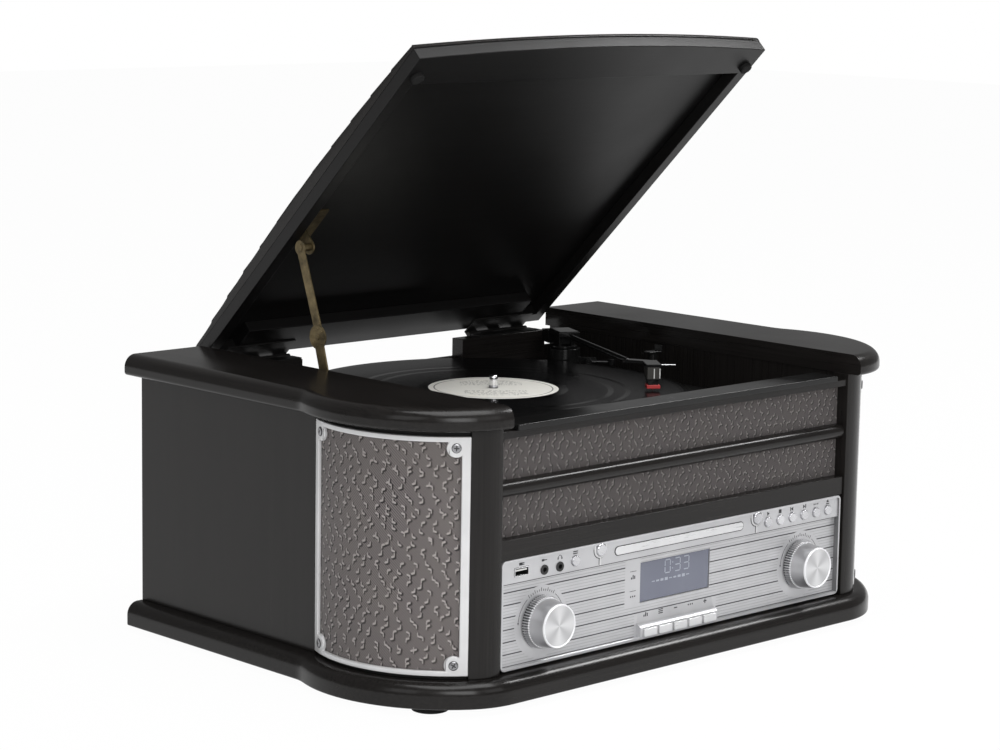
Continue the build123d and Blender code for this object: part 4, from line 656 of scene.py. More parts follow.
chrome = silver("Chrome", (0.78, 0.78, 0.8), (0.9, 0.9, 0.92), (0.05, 0.12), 1.0, depth=0.001)
# Near-black ink for print and dark joints, also used as painted shade and shadow.
ink_and_shade_black = moulded("Printed ink and painted shade", (0.022, 0.022, 0.025), (0.05, 0.05, 0.055), 0.5, 2500.0, 0.002)
print_white = moulded("White print", (0.75, 0.75, 0.74), (0.6, 0.6, 0.6), 0.45, 2500.0, 0.002)
black_hinge = silver(
    "Blackened hinge steel", (0.01, 0.01, 0.01), (0.022, 0.021, 0.02), (0.35, 0.5), 0.5
)
guard_red = moulded("Guard red", (0.42, 0.028, 0.03), (0.5, 0.09, 0.08), 0.3, 1500.0, 0.008)
socket_red = moulded("Socket red", (0.45, 0.02, 0.02), (0.5, 0.1, 0.1), 0.4)
socket_white = moulded("Socket white", (0.72, 0.72, 0.7), (0.6, 0.6, 0.58), 0.4)
print("finishes so far:", len(bpy.data.materials))

# %% [markdown]
# ### Grille cloth
# The woven figures are paler than the ground, and the small shadow each one throws is painted into
# the colour as a dark edge beside it, so that it still reads from far off. The bump lets them catch
# the light on one side. The UV map is in metres along the cloth, and is turned to millimetres here
# to suit the group.

# %% Cloth finish
cloth, tree, shader = start_material(
    "Grille cloth", (0.13, 0.12, 0.12), 0.8, Specular_IOR_Level=0.25
)
cloth_map = add_node(tree, "UVMap", uv_map="Cloth").outputs[0]
in_mm = add_node(tree, "VectorMath", {0: cloth_map, 3: 1000.0}, operation="SCALE").outputs[0]
twill = use_group(tree, twill_group, {"Vector": in_mm})
thread = mix_colours(tree, twill["Weave"], rgb(0.004, 0.004, 0.004), rgb(0.225, 0.2, 0.198))
raised = mix_colours(
    tree, maths(tree, "MULTIPLY", twill["Figure"], 0.9), thread, rgb(0.36, 0.33, 0.32)
)
# Painted shadow: a near-black edge beside each figure, from the Shade mask.
shaded = mix_colours(
    tree, maths(tree, "MULTIPLY", twill["Shade"], 0.95), raised, rgb(0.008, 0.007, 0.007)
)
worn = mix_colours(
    tree, remap(tree, twill["Fade"], 0.35, 0.75, 0.0, 0.3), shaded, rgb(0.16, 0.145, 0.13)
)
tree.links.new(worn, shader.inputs["Base Color"])
tree.links.new(remap(tree, twill["Figure"], 0.0, 1.0, 0.85, 0.6), shader.inputs["Roughness"])
shader.inputs["Sheen Weight"].default_value = 0.15
bump(tree, shader, twill["Height"], 0.25, 0.8)
# The windows' cloth is a darker copy of the same finish, mixed 40 % towards black: painted shade on
# the window strips.
shaded_front_cloth = cloth.copy()
shaded_front_cloth.name = "Grille cloth, front, painted shade"
tree = shaded_front_cloth.node_tree
shader = tree.nodes["Principled BSDF"]
lit = shader.inputs["Base Color"].links[0].from_socket
tree.links.new(mix_colours(tree, 0.4, lit, rgb(0.004, 0.004, 0.005)), shader.inputs["Base Color"])
for node in tree.nodes:
    if node.type == "VECT_MATH" and node.operation == "SCALE":
        node.inputs["Scale"].default_value = 1300.0
print("cloth finishes:", cloth.name, "and", shaded_front_cloth.name)

# %% [markdown]
# ### Antique brass
# The stay is brass darkened to olive brown, rubbed back to bare metal where it slides. Two
# scales of noise decide how far the dark skin has worn.

# %% Brass finish
brass, tree, shader = start_material("Antique brass", (0.12, 0.09, 0.045), 0.4, 0.75)
spot = place_of(tree)
worn = stretched_noise(tree, spot, (90.0, 90.0, 90.0), 5.0, 0.7)
broad = stretched_noise(tree, spot, (22.0, 22.0, 22.0), 2.0)
bare = remap(
    tree, maths(tree, "MULTIPLY_ADD", broad, 0.5, maths(tree, "MULTIPLY", worn, 0.6)), 0.45, 0.75,
    0.0, 1.0
)
tree.links.new(
    mix_colours(tree, bare, rgb(0.075, 0.058, 0.03), rgb(0.3, 0.23, 0.115)),
    shader.inputs["Base Color"]
)
tree.links.new(remap(tree, bare, 0.0, 1.0, 0.48, 0.28), shader.inputs["Roughness"])
bump(tree, shader, worn, 0.02)
print("made", brass.name)

# %% [markdown]
# ### Panel stripes
# The lower panel is printed with a dark rule every 8.8 mm and three faint rules between. The
# rules stop round each knob and at the display. Distances from those places are worked out in
# the material, so the print stays sharp at any size, which a picture of it would not.

# %% Stripe finish
knob_low, knob_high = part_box("tuning_knob")
knob_radius, clear_radius = 0.0192, 26.0
first_rule, bold_pitch, faint_pitch = 26.1, 8.8, 2.2
knob_x, knob_z = knob_low.x + knob_radius, (knob_low.z + knob_high.z) / 2
striped, tree, shader = start_material("Striped panel", (0.6, 0.6, 0.61), 0.36, 0.6)
spot = add_node(tree, "TexCoord").outputs["Object"]
skin = use_group(tree, metal_group, {"Vector": spot})
parts = add_node(tree, "SeparateXYZ", {0: spot}).outputs
print("knob centre", round(knob_x, 4), round(knob_z, 4))


def rules(tree, height, start, pitch, width):
    """1 on thin level rules that repeat every pitch."""
    turns = maths(tree, "DIVIDE", maths(tree, "SUBTRACT", height, start * MM), pitch * MM)
    share = maths(tree, "FRACT", maths(tree, "ADD", turns, 0.5))
    distance = maths(tree, "ABSOLUTE", maths(tree, "SUBTRACT", share, 0.5))
    half = width / pitch / 2
    return remap(tree, distance, half * 0.8, half * 1.25, 1.0, 0.0)


def outside_circle(tree, parts, x, z, radius):
    """0 inside a circle of the panel, 1 outside it."""
    across = maths(tree, "SUBTRACT", parts[0], x)
    rise = maths(tree, "SUBTRACT", parts[2], z)
    squares = maths(
        tree, "ADD", maths(tree, "MULTIPLY", across, across), maths(tree, "MULTIPLY", rise, rise)
    )
    reach = maths(tree, "SQRT", squares)
    return remap(tree, reach, (radius - 0.15) * MM, (radius + 0.15) * MM, 0.0, 1.0)


def outside_box(tree, parts, left, right, low, high):
    """0 inside a rectangle of the panel, 1 outside it."""
    inside = None
    for value, bound, operation in (
        (parts[0], left, "GREATER_THAN"), (parts[0], right, "LESS_THAN"),
        (parts[2], low, "GREATER_THAN"), (parts[2], high, "LESS_THAN"),
    ):
        test = maths(tree, operation, value, bound * MM)
        inside = test if inside is None else maths(tree, "MULTIPLY", inside, test)
    return maths(tree, "SUBTRACT", 1.0, inside)


shown = outside_circle(tree, parts, knob_x, knob_z, clear_radius)
left_clear = outside_circle(tree, parts, -knob_x, knob_z, clear_radius)
shown = maths(tree, "MULTIPLY", shown, left_clear)
shown = maths(tree, "MULTIPLY", shown, outside_box(tree, parts, -54.6, -38.0, 49.5, 84.5))
shown = maths(tree, "MULTIPLY", shown, outside_box(tree, parts, -44.0, 44.0, 24.0, 43.2))
bold = maths(tree, "MULTIPLY", rules(tree, parts[2], first_rule, bold_pitch, 0.8), shown)
faint = maths(tree, "MULTIPLY", rules(tree, parts[2], first_rule, faint_pitch, 0.42), shown)
plain = mix_colours(tree, skin["Tone"], rgb(0.54, 0.54, 0.555), rgb(0.63, 0.63, 0.645))
lined = mix_colours(tree, maths(tree, "MULTIPLY", faint, 0.5), plain, rgb(0.3, 0.3, 0.31))
lined = mix_colours(tree, maths(tree, "MULTIPLY", bold, 0.92), lined, rgb(0.035, 0.035, 0.038))
tree.links.new(lined, shader.inputs["Base Color"])
tree.links.new(remap(tree, skin["Gloss"], 0.3, 0.7, 0.34, 0.44), shader.inputs["Roughness"])
depth = maths(
    tree, "MULTIPLY_ADD", maths(tree, "MAXIMUM", bold, maths(tree, "MULTIPLY", faint, 0.4)), -1.0,
    maths(tree, "MULTIPLY", skin["Height"], 0.03)
)
bump(tree, shader, depth, 0.12)

# %% [markdown]
# ### Record, label and knob faces
# All three are turned about an axis. On the record, fine grooves run between wide silent bands;
# the vinyl's gloss makes the grooves glint. The label is paper with a few printed rules.

# %% Turned finishes
spindle_low, spindle_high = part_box("record")
spindle = (spindle_low + spindle_high) / 2
vinyl, tree, shader = start_material(
    "Grooved vinyl", (0.005, 0.005, 0.005), 0.2, Specular_IOR_Level=0.11
)
turned_at = use_group(tree, ring_group, {"Vector": place_of(tree, spindle), "Pitch": 0.0011})
bands = add_node(
    tree, "TexNoise",
    {"W": maths(tree, "MULTIPLY", turned_at["Radius"], 150.0), "Scale": 1.0, "Detail": 0.0},
    noise_dimensions="1D"
)
silent = remap(tree, bands.outputs["Fac"], 0.66, 0.69, 0.0, 1.0)
rim = remap(tree, turned_at["Radius"], 0.1455, 0.1465, 0.0, 1.0)
silent = maths(tree, "MAXIMUM", silent, rim)
silent = maths(tree, "MAXIMUM", silent, remap(tree, turned_at["Radius"], 0.057, 0.058, 1.0, 0.0))
tree.links.new(
    mix_colours(tree, silent, rgb(0.0045, 0.0045, 0.0047), rgb(0.003, 0.003, 0.003)),
    shader.inputs["Base Color"]
)
tree.links.new(remap(tree, silent, 0.0, 1.0, 0.26, 0.14), shader.inputs["Roughness"])
cut = maths(tree, "MULTIPLY", turned_at["Ring"], maths(tree, "SUBTRACT", 1.0, silent))
bump(tree, shader, cut, 0.03)

label_paper, tree, shader = start_material("Label paper", (0.72, 0.69, 0.62), 0.55)
spot = place_of(tree, spindle, (0.0, 0.0, radians(38.0)))
turned_at = use_group(tree, ring_group, {"Vector": spot, "Pitch": 0.002})
parts = add_node(tree, "SeparateXYZ", {0: spot}).outputs
words = stretched_noise(tree, spot, (620.0, 300.0, 1.0), 1.0)
lines = rules(tree, parts[1], 0.0, 4.6, 1.5)
along = maths(tree, "LESS_THAN", maths(tree, "ABSOLUTE", parts[0]), 24.0 * MM)
apart = maths(tree, "GREATER_THAN", maths(tree, "ABSOLUTE", parts[1]), 11.0 * MM)
inked = maths(
    tree, "MULTIPLY", maths(tree, "GREATER_THAN", words, 0.5),
    maths(tree, "MULTIPLY", lines, maths(tree, "MULTIPLY", along, apart))
)
inside = remap(tree, turned_at["Radius"], 0.036, 0.037, 1.0, 0.0)
from_border = maths(tree, "ABSOLUTE", maths(tree, "SUBTRACT", turned_at["Radius"], 0.0455))
border = remap(tree, from_border, 0.0003, 0.0006, 1.0, 0.0)
ink = maths(tree, "MAXIMUM", maths(tree, "MULTIPLY", inked, inside), border)
fibre = stretched_noise(tree, spot, (300.0, 300.0, 300.0), 4.0)
paper = mix_colours(tree, fibre, rgb(0.88, 0.865, 0.8), rgb(0.96, 0.945, 0.89))
tree.links.new(
    mix_colours(tree, maths(tree, "MULTIPLY", ink, 0.85), paper, rgb(0.06, 0.055, 0.05)),
    shader.inputs["Base Color"]
)
bump(tree, shader, fibre, 0.02)


def spun(name, x, skirt):
    """A knob's finish about its own axis: satin on the skirt, finely spun on the face, with a
    painted sheen.
    """
    material, tree, shader = start_material(name, (0.66, 0.66, 0.67), 0.3, 0.85 if skirt else 0.55)
    spot = place_of(tree, (x, 0.0, knob_z), (radians(90.0), 0.0, 0.0))
    turned_at = use_group(tree, ring_group, {"Vector": spot, "Pitch": 0.00022})
    # The colour carries the painted sheen: lighter in four sectors round the axis, as a reflection
    # on spun metal would be.
    tone = maths(
        tree, "MULTIPLY_ADD", turned_at["Sheen"], 0.55,
        maths(tree, "MULTIPLY", turned_at["Ring"], 0.03 if skirt else 0.25)
    )
    colour = mix_colours(tree, tone, rgb(0.46, 0.46, 0.47), rgb(0.82, 0.82, 0.83))
    height = maths(tree, "MULTIPLY", turned_at["Ring"], 0.015 if skirt else 0.05)
    tree.links.new(colour, shader.inputs["Base Color"])
    tree.links.new(remap(tree, turned_at["Ring"], 0.3, 0.7, 0.3, 0.33), shader.inputs["Roughness"])
    bump(tree, shader, height, 0.03)
    return material


volume_skirt = spun("Volume knob skirt", -knob_x, True)
volume_face = spun("Volume knob face", -knob_x, False)
tuning_skirt = spun("Tuning knob skirt", knob_x, True)
tuning_face = spun("Tuning knob face", knob_x, False)
print("turned finishes:", vinyl.name, label_paper.name, volume_face.name, tuning_face.name)

# %% [markdown]
# ### Display
# A plain liquid crystal window looks blue grey and slightly uneven under its clear cover. The
# figures are thin plates laid on it, in a lighter grey.

# %% Display finish
lcd, tree, shader = start_material("Display glass", (0.17, 0.19, 0.25), 0.16)
cloudy = stretched_noise(tree, place_of(tree), (30.0, 30.0, 30.0), 2.0)
shader_colour = mix_colours(tree, cloudy, rgb(0.13, 0.14, 0.187), rgb(0.18, 0.19, 0.238))
tree.links.new(shader_colour, shader.inputs["Base Color"])
tree.links.new(remap(tree, cloudy, 0.3, 0.7, 0.12, 0.2), shader.inputs["Roughness"])
lcd_digit = moulded("Display figures", (0.36, 0.38, 0.44), (0.42, 0.44, 0.5), 0.3, 900.0, 0.001)
print("finishes in all:", len(bpy.data.materials))

# %% [markdown]
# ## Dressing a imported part
# Many parts already have the right shape. A copy of such a part is merged, its flat faces are
# joined again into single faces, and its edges are rounded a little, because no real edge is
# perfectly sharp and a rounded one catches a thread of light. The copy then stands for the
# part it was made from.

# %% Dressing helpers
carried_by = frame["record"]["behaviour"]["bodies"]
body_of = {node: body for body, nodes in carried_by.items() for node in nodes}


def copy_part(node, name):
    """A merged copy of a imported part, free to be shaped."""
    original = frame["nodes"][node]
    mesh = bpy.data.meshes.new_from_object(original)
    mesh.name = name
    mesh.materials.clear()
    piece = bpy.data.objects.new(name, mesh)
    bpy.context.scene.collection.objects.link(piece)
    choose_all(piece)
    bpy.ops.mesh.remove_doubles(threshold=1e-6)
    bpy.ops.mesh.dissolve_limited(angle_limit=radians(0.4))
    leave_edit()
    return piece


def dress(node, material, slot, edge=0.0, steps=2, angle=35.0):
    """A copy of a part with rounded edges and its finish."""
    piece = copy_part(node, node + "_dressed")
    if edge:
        apply_bevel(piece, edge, steps)
    return finish(piece, body_of[node], material, slot, (node,), angle)


# %% [markdown]
# ### The wooden case
# The plinth and the two top boards are thick boards with big rounded fronts; the parts already
# have those rounds, so they need only smooth shading. The thinner panels get a small round of
# their own. Grain runs the long way of each board, as a joiner would cut it.

# %% Case boards
dressed = {}
for node, material, edge in (
    ("plinth", wood_across, 0.0),
    ("top_board_left", wood_deep, 0.0), ("top_board_right", wood_deep, 0.0),
    ("side_panel_left", wood_upright, 0.4), ("side_panel_right", wood_upright, 0.4),
    ("inner_walls", wood_upright, 0.4), ("front_posts", wood_upright, 0.5),
    ("rear_panel", wood_across, 0.4), ("front_frame", wood_across, 0.35),
    ("lid_frame", lid_inside_shaded, 0.6), ("lid_panel", wood_across, 0.0),
):
    dressed[node] = dress(node, material, "black_wood", edge)
print("wooden pieces:", len(dressed))

# %% [markdown]
# The lid's arched panel is one board, but its hollow side gets a darker and duller copy of the
# lacquer; the darker colour is painted shade. Only the faces that look into the case when it is
# shut get that finish. The lid stands open, so those faces are found by their direction in its own
# turned frame.

# %% Lid inside
lid_turn = radians(44.4)
lid_inward = Vector((0.0, -sin(lid_turn), -cos(lid_turn)))
count = paint(dressed["lid_panel"], lid_inside_shaded, lambda place, normal: normal.dot(lid_inward) > 0.7)
print("lid faces with the darker coat of painted shade:", count)

# %% [markdown]
# ### Feet, bumpers, belt and mat
# These are all rubber. The moulded edges are rounded by two segments of bevel.

# %% Rubber parts
for node, material, slot, edge in (
    ("feet", rubber, "foot_rubber", 0.8), ("lid_bumpers", rubber, "foot_rubber", 0.3),
    ("drive_belt", rubber, "foot_rubber", 0.1), ("slip_mat", rubber, "mat_rubber", 0.5),
):
    dressed[node] = dress(node, material, slot, edge)

# %% [markdown]
# ### Works inside
# The mechanism is seen only with the lid or the drawer open, or from behind, but it is
# finished in the same way: pressed steel, brass, cast metal, card and a green circuit board.

# %% Works
for node, material, slot, edge in (
    ("speaker_baffles", black_board, "mdf", 0.3),
    ("speaker_drivers", dark_steel_and_shade, "dark_metal", 0.3),
    ("control_board", board_green, "board_green", 0.0),
    ("cd_mechanism", dark_steel_and_shade, "dark_metal", 0.3),
    ("motor", bright_steel, "dark_metal", 0.6), ("motor_pulley", pulley_metal, "pulley_brass", 0.2),
    ("platter", cast_metal, "platter_metal", 0.4), ("deck_plate", deck_black, "black_plastic", 0.4),
    ("terminal_plate", black_plastic, "black_plastic", 0.15),
):
    dressed[node] = dress(node, material, slot, edge)
cones = paint(dressed["speaker_drivers"], cone_paper, lambda place, normal: normal.z ** 2 < 0.9)
print("cone faces:", cones)

# %% [markdown]
# The four phono sockets at the back have bright sleeves on coloured collars: white for the
# left channel and red for the right. They are painted by place, one row at a time.

# %% Phono sockets
terminal_low, terminal_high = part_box("terminal_plate")
sleeve_length, first_column, column_pitch, row_offset = 7.7, 13.5, 18.0, 9.0
sleeve_reach, collar_reach, collar_depth = 4.3, 5.8, 1.4
collar_y = terminal_high.y - sleeve_length * MM
terminals = dressed["terminal_plate"]
for row, colour in ((-1, socket_red), (1, socket_white)):
    for column in (0, 1):
        socket_x = terminal_high.x - (first_column + column_pitch * column) * MM
        socket_z = (terminal_low.z + terminal_high.z) / 2 + row * row_offset * MM

        def near(place, reach):
            return hypot(place.x - socket_x, place.z - socket_z) < reach * MM

        def on_sleeve(place, normal):
            return near(place, sleeve_reach) and place.y > collar_y

        def on_collar(place, normal):
            level = collar_y - collar_depth * MM < place.y <= collar_y
            return near(place, collar_reach) and level

        sleeves = paint(terminals, bright_steel, on_sleeve)
        collars = paint(terminals, colour, on_collar)
        print("socket faces:", sleeves, collars)

# %% [markdown]
# ### Brass stay and black hinges
# The links are stamped from thin plate, so the tools leave a tiny round on each edge. The stay
# has the antique finish, which wears brightest where it slides; the hinges are blackened.

# %% Brass parts
for node in ("stay_base", "stay_bracket", "stay_upper_link", "stay_lower_link"):
    dressed[node] = dress(node, brass, "aged_brass", 0.12)
for node in ("hinge_lower_leaves", "hinge_upper_leaves"):
    dressed[node] = dress(node, black_hinge, "dark_metal", 0.12)

# %% [markdown]
# ### Silver trim round the speakers
# Each curved frame is a pressing painted silver. A three-step bevel gives it the soft rolled
# edge that carries a bright line of light down its length.

# %% Grille frames
dressed["grille_frames"] = dress("grille_frames", silver_paint, "silver_trim", 0.7, 3)

# %% [markdown]
# ### Deck furniture
# The tonearm's base, yoke and cue lever are gloss black, the arm itself is black with bright
# fittings. They are dressed first; the bright parts are painted on by place further down.

# %% Deck furniture
for node, material, slot, edge in (
    ("tonearm_base", gloss_black, "black_plastic", 0.4),
    ("tonearm_yoke", gloss_black, "black_plastic", 0.3),
    ("cue_lever", gloss_black, "black_plastic", 0.25), ("tonearm", gloss_black, "gloss_black", 0.2),
    ("cartridge", cartridge_grey, "cartridge_grey", 0.15),
    ("speed_switch", key_silver, "silver_trim", 0.3),
):
    dressed[node] = dress(node, material, slot, edge)

# %% [markdown]
# ## Control panel
# The fascia is a moulded silver panel with a striped field sunk into it. One mesh carries
# both: the sunk faces, found by their depth, get the striped finish.

# %% Fascia
strip_depth, stripe_depth, stud_x, stud_z, stud_half = 330.5, 327.5, 84.0, 97.5, 4.9
fascia = dress("fascia", panel_silver, "fascia_silver", 0.0)
stripe_y = at(0, stripe_depth, 0).y
stud_y = at(0, 330.8, 0).y
striped_count = paint(
    fascia, striped, lambda place, normal: abs(place.y - stripe_y) < 0.3 * MM and normal.y < -0.9
)


def on_stud(place, normal):
    """The two round studs that stand out of the upper strip."""
    across = abs(abs(place.x) - stud_x * MM) < stud_half * MM
    return across and place.y < stud_y and abs(place.z - stud_z * MM) < stud_half * MM


stud_faces = paint(fascia, bright_steel, on_stud)
print("striped faces:", striped_count, "stud faces:", stud_faces)

# %% [markdown]
# ### Keys, buttons and drawer
# The five keys are silver blocks and the push buttons are bright steel. All of them get the
# same half millimetre round on their edges, in three steps. The drawer is black plastic, and
# only its front is silver.

# %% Keys and buttons
for number in range(1, 6):
    dress(f"key_{number}", key_silver, "silver_trim", 0.5, 3)
for node in ["function_button"] + [f"disc_button_{number}" for number in range(1, 7)]:
    dress(node, bright_steel, "silver_trim", 0.5, 3)
drawer = dress("cd_tray", black_plastic, "black_plastic", 0.4)
paint(drawer, key_silver, lambda place, normal: place.y < at(0, 323.5, 0).y)

# %% [markdown]
# ### Sockets, display and bezel
# The front sockets are black plastic for now; the bright shell of one of them is painted on
# further down. The display and the glossy black bezel plate are dressed like any other part.

# %% Sockets, display and bezel
sockets = dress("front_sockets", black_plastic, "black_plastic", 0.15)
dress("display", lcd, "lens", 0.4)
dress("bezel_plate", gloss_black, "gloss_black", 0.8, 3)
print("control panel dressed; faces of the sockets:", len(sockets.data.polygons))

# %% [markdown]
# ## Turned pieces
# Knobs, the record, screw heads and collars are all turned about an axis. A circle is added
# at the first radius, then extruded and scaled ring by ring, as a lathe cuts a profile.

# %% Lathe helper


def turned(name, rings, sides=96, place=(0, 0, 0), facing="Z"):
    """A closed turned piece from (radius, height) rings in mm; "Z" faces up, "-Y" the user."""
    deselect()
    bpy.ops.mesh.primitive_circle_add(vertices=sides, radius=rings[0][0] * MM, fill_type="NGON",
                                      location=(0, 0, rings[0][1] * MM))
    piece = bpy.context.object
    piece.name = piece.data.name = name
    settle(piece)
    choose_all(piece)
    for (radius, height), (next_radius, next_height) in zip(rings, rings[1:]):
        bpy.ops.mesh.extrude_region_move(
            TRANSFORM_OT_translate={"value": (0, 0, (next_height - height) * MM)}
        )
        share = next_radius / radius
        bpy.ops.transform.resize(value=(share, share, 1), center_override=(0, 0, 0))
    bpy.ops.mesh.select_all(action="SELECT")
    bpy.ops.mesh.normals_make_consistent(inside=False)
    leave_edit()
    if facing == "-Y":
        piece.rotation_euler = (radians(90), 0, 0)
    piece.location = place
    settle(piece)
    return piece


def join(name, pieces):
    pick(*pieces)
    bpy.ops.object.join()
    piece = bpy.context.object
    piece.name = piece.data.name = name
    return piece


# %% [markdown]
# ### Record and label
# The record is a thin turned disc with a raised rim bead and a flat label area. The label is
# a separate paper disc that sits on it, hollow in the middle for the spindle.

# %% Record
disc = turned("record_disc", [
    (3.62, 182.2), (149.2, 182.2), (150.0, 182.6), (150.0, 183.4), (149.6, 183.75), (148.4, 183.8),
    (146.6, 183.62), (57.0, 183.62), (54.0, 183.75), (3.62, 183.75), (3.62, 182.2),
], 192, Vector((spindle.x, spindle.y, 0)))
finish(disc, "turntable", vinyl, "vinyl", ("record",))
label = turned("record_label", [
    (3.7, 183.7), (50.0, 183.7), (50.0, 183.8), (3.7, 183.8), (3.7, 183.7),
], 128, Vector((spindle.x, spindle.y, 0)))
finish(label, "turntable", label_paper, "vinyl")
print("record radius", round(disc.dimensions.x / 2, 4))

# %% [markdown]
# ## Grille cloth
# Cloth glued over a curved baffle is a sheet bent one way only. It is laid out as a grid whose
# columns follow the curve, so the UV map can be exact: metres along the arc and metres up.
# Solidify then gives it the thickness of the fabric.

# %% Cloth sheets
corner_x, corner_depth, cloth_radius = 155.8, 245.8, 92.85


def stretched_sheet(name, place_at, width, height, columns, thickness, toward):
    """A sheet through place_at(share across, share up), with a UV map in metres."""
    deselect()
    bpy.ops.mesh.primitive_grid_add(
        x_subdivisions=columns, y_subdivisions=8, size=1, location=(0.5, 0.5, 0)
    )
    piece = bpy.context.object
    piece.name = piece.data.name = name
    settle(piece)
    cloth_map = piece.data.uv_layers.new(name="Cloth")
    piece.data.uv_layers.active = cloth_map
    for loop in piece.data.loops:
        share = piece.data.vertices[loop.vertex_index].co
        cloth_map.data[loop.index].uv = (share.x * width, share.y * height)
    for vertex in piece.data.vertices:
        vertex.co = place_at(vertex.co.x, vertex.co.y)
    for layer in list(piece.data.uv_layers):
        if layer.name != "Cloth":
            piece.data.uv_layers.remove(layer)
    choose_all(piece)
    bpy.ops.mesh.normals_make_consistent(inside=False)
    leave_edit()
    if sum(face.normal.dot(toward(face.center)) for face in piece.data.polygons) < 0:
        choose_all(piece)
        bpy.ops.mesh.flip_normals()
        leave_edit()
    solid = piece.modifiers.new("Fabric", "SOLIDIFY")
    solid.thickness = thickness * MM
    solid.offset = -1.0
    pick(piece)
    bpy.ops.object.modifier_apply(modifier=solid.name)
    return piece


def corner_cloth(side):
    """The cloth of one speaker corner; side is -1 for the left."""
    centre = at(side * corner_x, corner_depth, 0)
    start, end = radians(24.7), radians(-57.5)
    low, high = 25.6 * MM, 191.9 * MM

    def place_at(across, rise):
        turn = start + (end - start) * across
        reach = cloth_radius * MM
        return centre + Vector(
            (side * reach * cos(turn), reach * sin(turn), low + (high - low) * rise)
        )

    arc = abs(end - start) * cloth_radius * MM
    name = "corner_cloth_left" if side < 0 else "corner_cloth_right"
    piece = stretched_sheet(name, place_at, arc, high - low, 64, 0.7, lambda place: place - centre)
    finish(piece, "case", cloth, "grille_cloth", ("grille_cloths",))
    print(name, "flat", round(arc, 4), "by", round(high - low, 4))


corner_cloth(-1)
corner_cloth(1)

# %% [markdown]
# The two windows above the panel have flat strips of the same cloth behind the front frame, with a
# darker copy of its finish as painted shade. A stretched cloth bows a hair between its edges, which
# is enough to soften its shading.

# %% Front cloths


window_left, window_width, window_depth, bow_depth = -183.0, 366.0, 323.3, 0.35


def window_cloth(name, low, high):
    """A flat strip of cloth between two heights, bowed a little in its middle."""
    width, height = 0.366, (high - low) * MM

    def place_at(across, rise):
        bow = bow_depth * sin(pi * across) ** 0.5 * sin(pi * rise)
        x, z = window_left + window_width * across, low + (high - low) * rise
        return at(x, window_depth + bow, z)

    piece = stretched_sheet(
        name, place_at, width, height, 40, 0.9, lambda place: Vector((0, -1, 0))
    )
    finish(piece, "case", shaded_front_cloth, "grille_cloth", ("front_cloths",))


cloth_low, cloth_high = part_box("front_cloths")
print("front cloths between z", round(cloth_low.z, 4), "and", round(cloth_high.z, 4))
window_cloth("window_cloth_lower", 115.0, 148.5)
window_cloth("window_cloth_upper", 155.5, 190.0)

# %% [markdown]
# ### Cross-head screws
# Each grille frame is held by four pan-head screws. The head is turned, and a cross of two
# thin bars is cut out of it by a Boolean, as the punch leaves it. One screw is made and copied.

# %% Screws


def cross_head(name, radius, height):
    """A pan-head screw head standing on the XY plane, with a cross recess."""
    head = turned(name, [
        (radius * 0.2, 0.0), (radius, 0.0), (radius, height * 0.35), (radius * 0.9, height * 0.75),
        (radius * 0.62, height), (radius * 0.1, height),
    ], 40)
    for turn in (0, 90):
        deselect()
        bpy.ops.mesh.primitive_cube_add(
            size=1, location=(0, 0, height * MM), rotation=(0, 0, radians(turn))
        )
        bar = bpy.context.object
        bar.dimensions = (radius * 1.1 * MM, radius * 0.24 * MM, height * 1.1 * MM)
        settle(bar)
        cutter = head.modifiers.new("Recess", "BOOLEAN")
        cutter.object = bar
        cutter.operation = "DIFFERENCE"
        pick(head)
        bpy.ops.object.modifier_apply(modifier=cutter.name)
        bpy.data.objects.remove(bar)
    return head


def copy_to(piece, name, place, outward, twist=0.0):
    """A copy that stands at a place, facing outward."""
    twin = piece.copy()
    twin.data = piece.data.copy()
    twin.name = twin.data.name = name
    bpy.context.scene.collection.objects.link(twin)
    turn = Vector(outward).to_track_quat("Z", "Y").to_matrix().to_4x4()
    twin.data.transform(Matrix.Translation(place) @ turn @ Matrix.Rotation(twist, 4, "Z"))
    return twin


grille_screw = cross_head("grille_screw", 3.4, 0.9)
heads = []
frame_radius, seat_radius, recess_radius, ear_inset = 95.7, 95.65, 96.28, 10.2
frame_start, frame_end, lower_row, upper_row = 24.8, -57.6, 33.2, 184.3
ear_angle = degrees(ear_inset / frame_radius)
for side in (-1, 1):
    for turn in (frame_start - ear_angle, frame_end + ear_angle):
        for height in (lower_row, upper_row):
            outward = Vector((side * cos(radians(turn)), sin(radians(turn)), 0))
            place = at(side * corner_x, corner_depth, height) + outward * seat_radius * MM
            heads.append(
                copy_to(grille_screw, f"grille_head_{len(heads)}", place, outward, 0.5 * len(heads))
            )
bpy.data.objects.remove(grille_screw)
screws = finish(join("grille_screw_heads", heads), "case", screw_steel, "steel", ("grille_screws",))


def in_recess(place, normal):
    """The low parts of a head, its cross and the foot of its rim, which are painted dark as shade.
    """
    sideways = abs(place.x) - corner_x * MM
    return hypot(sideways, place.y - at(0, corner_depth, 0).y) < recess_radius * MM


# Painted shade: the cross recess and the foot of each head are near black.
print("faces in shade:", paint(screws, ink_and_shade_black, in_recess))
print("screw heads:", len(heads), "faces:", len(screws.data.polygons))

# %% [markdown]
# ### Knobs
# A knob is a truncated cone with sixty ribs round its foot that the fingers grip, a bead at the
# front of each rib, a smooth body and a bright rim round a spun face. It is one lathe profile. The
# ribs are made by pulling in two points of every four round the foot. Its colours carry painted
# shade at its foot and between the ribs, and painted highlights on the beads and the rim.

# %% Knobs
knob_back, axis_z, rib_count = 328.0, 53.5, 60
foot_length, pulled_in = 4.8, 0.93
bead_size, bead_circle, bead_depth = 0.55, 17.45, 5.2


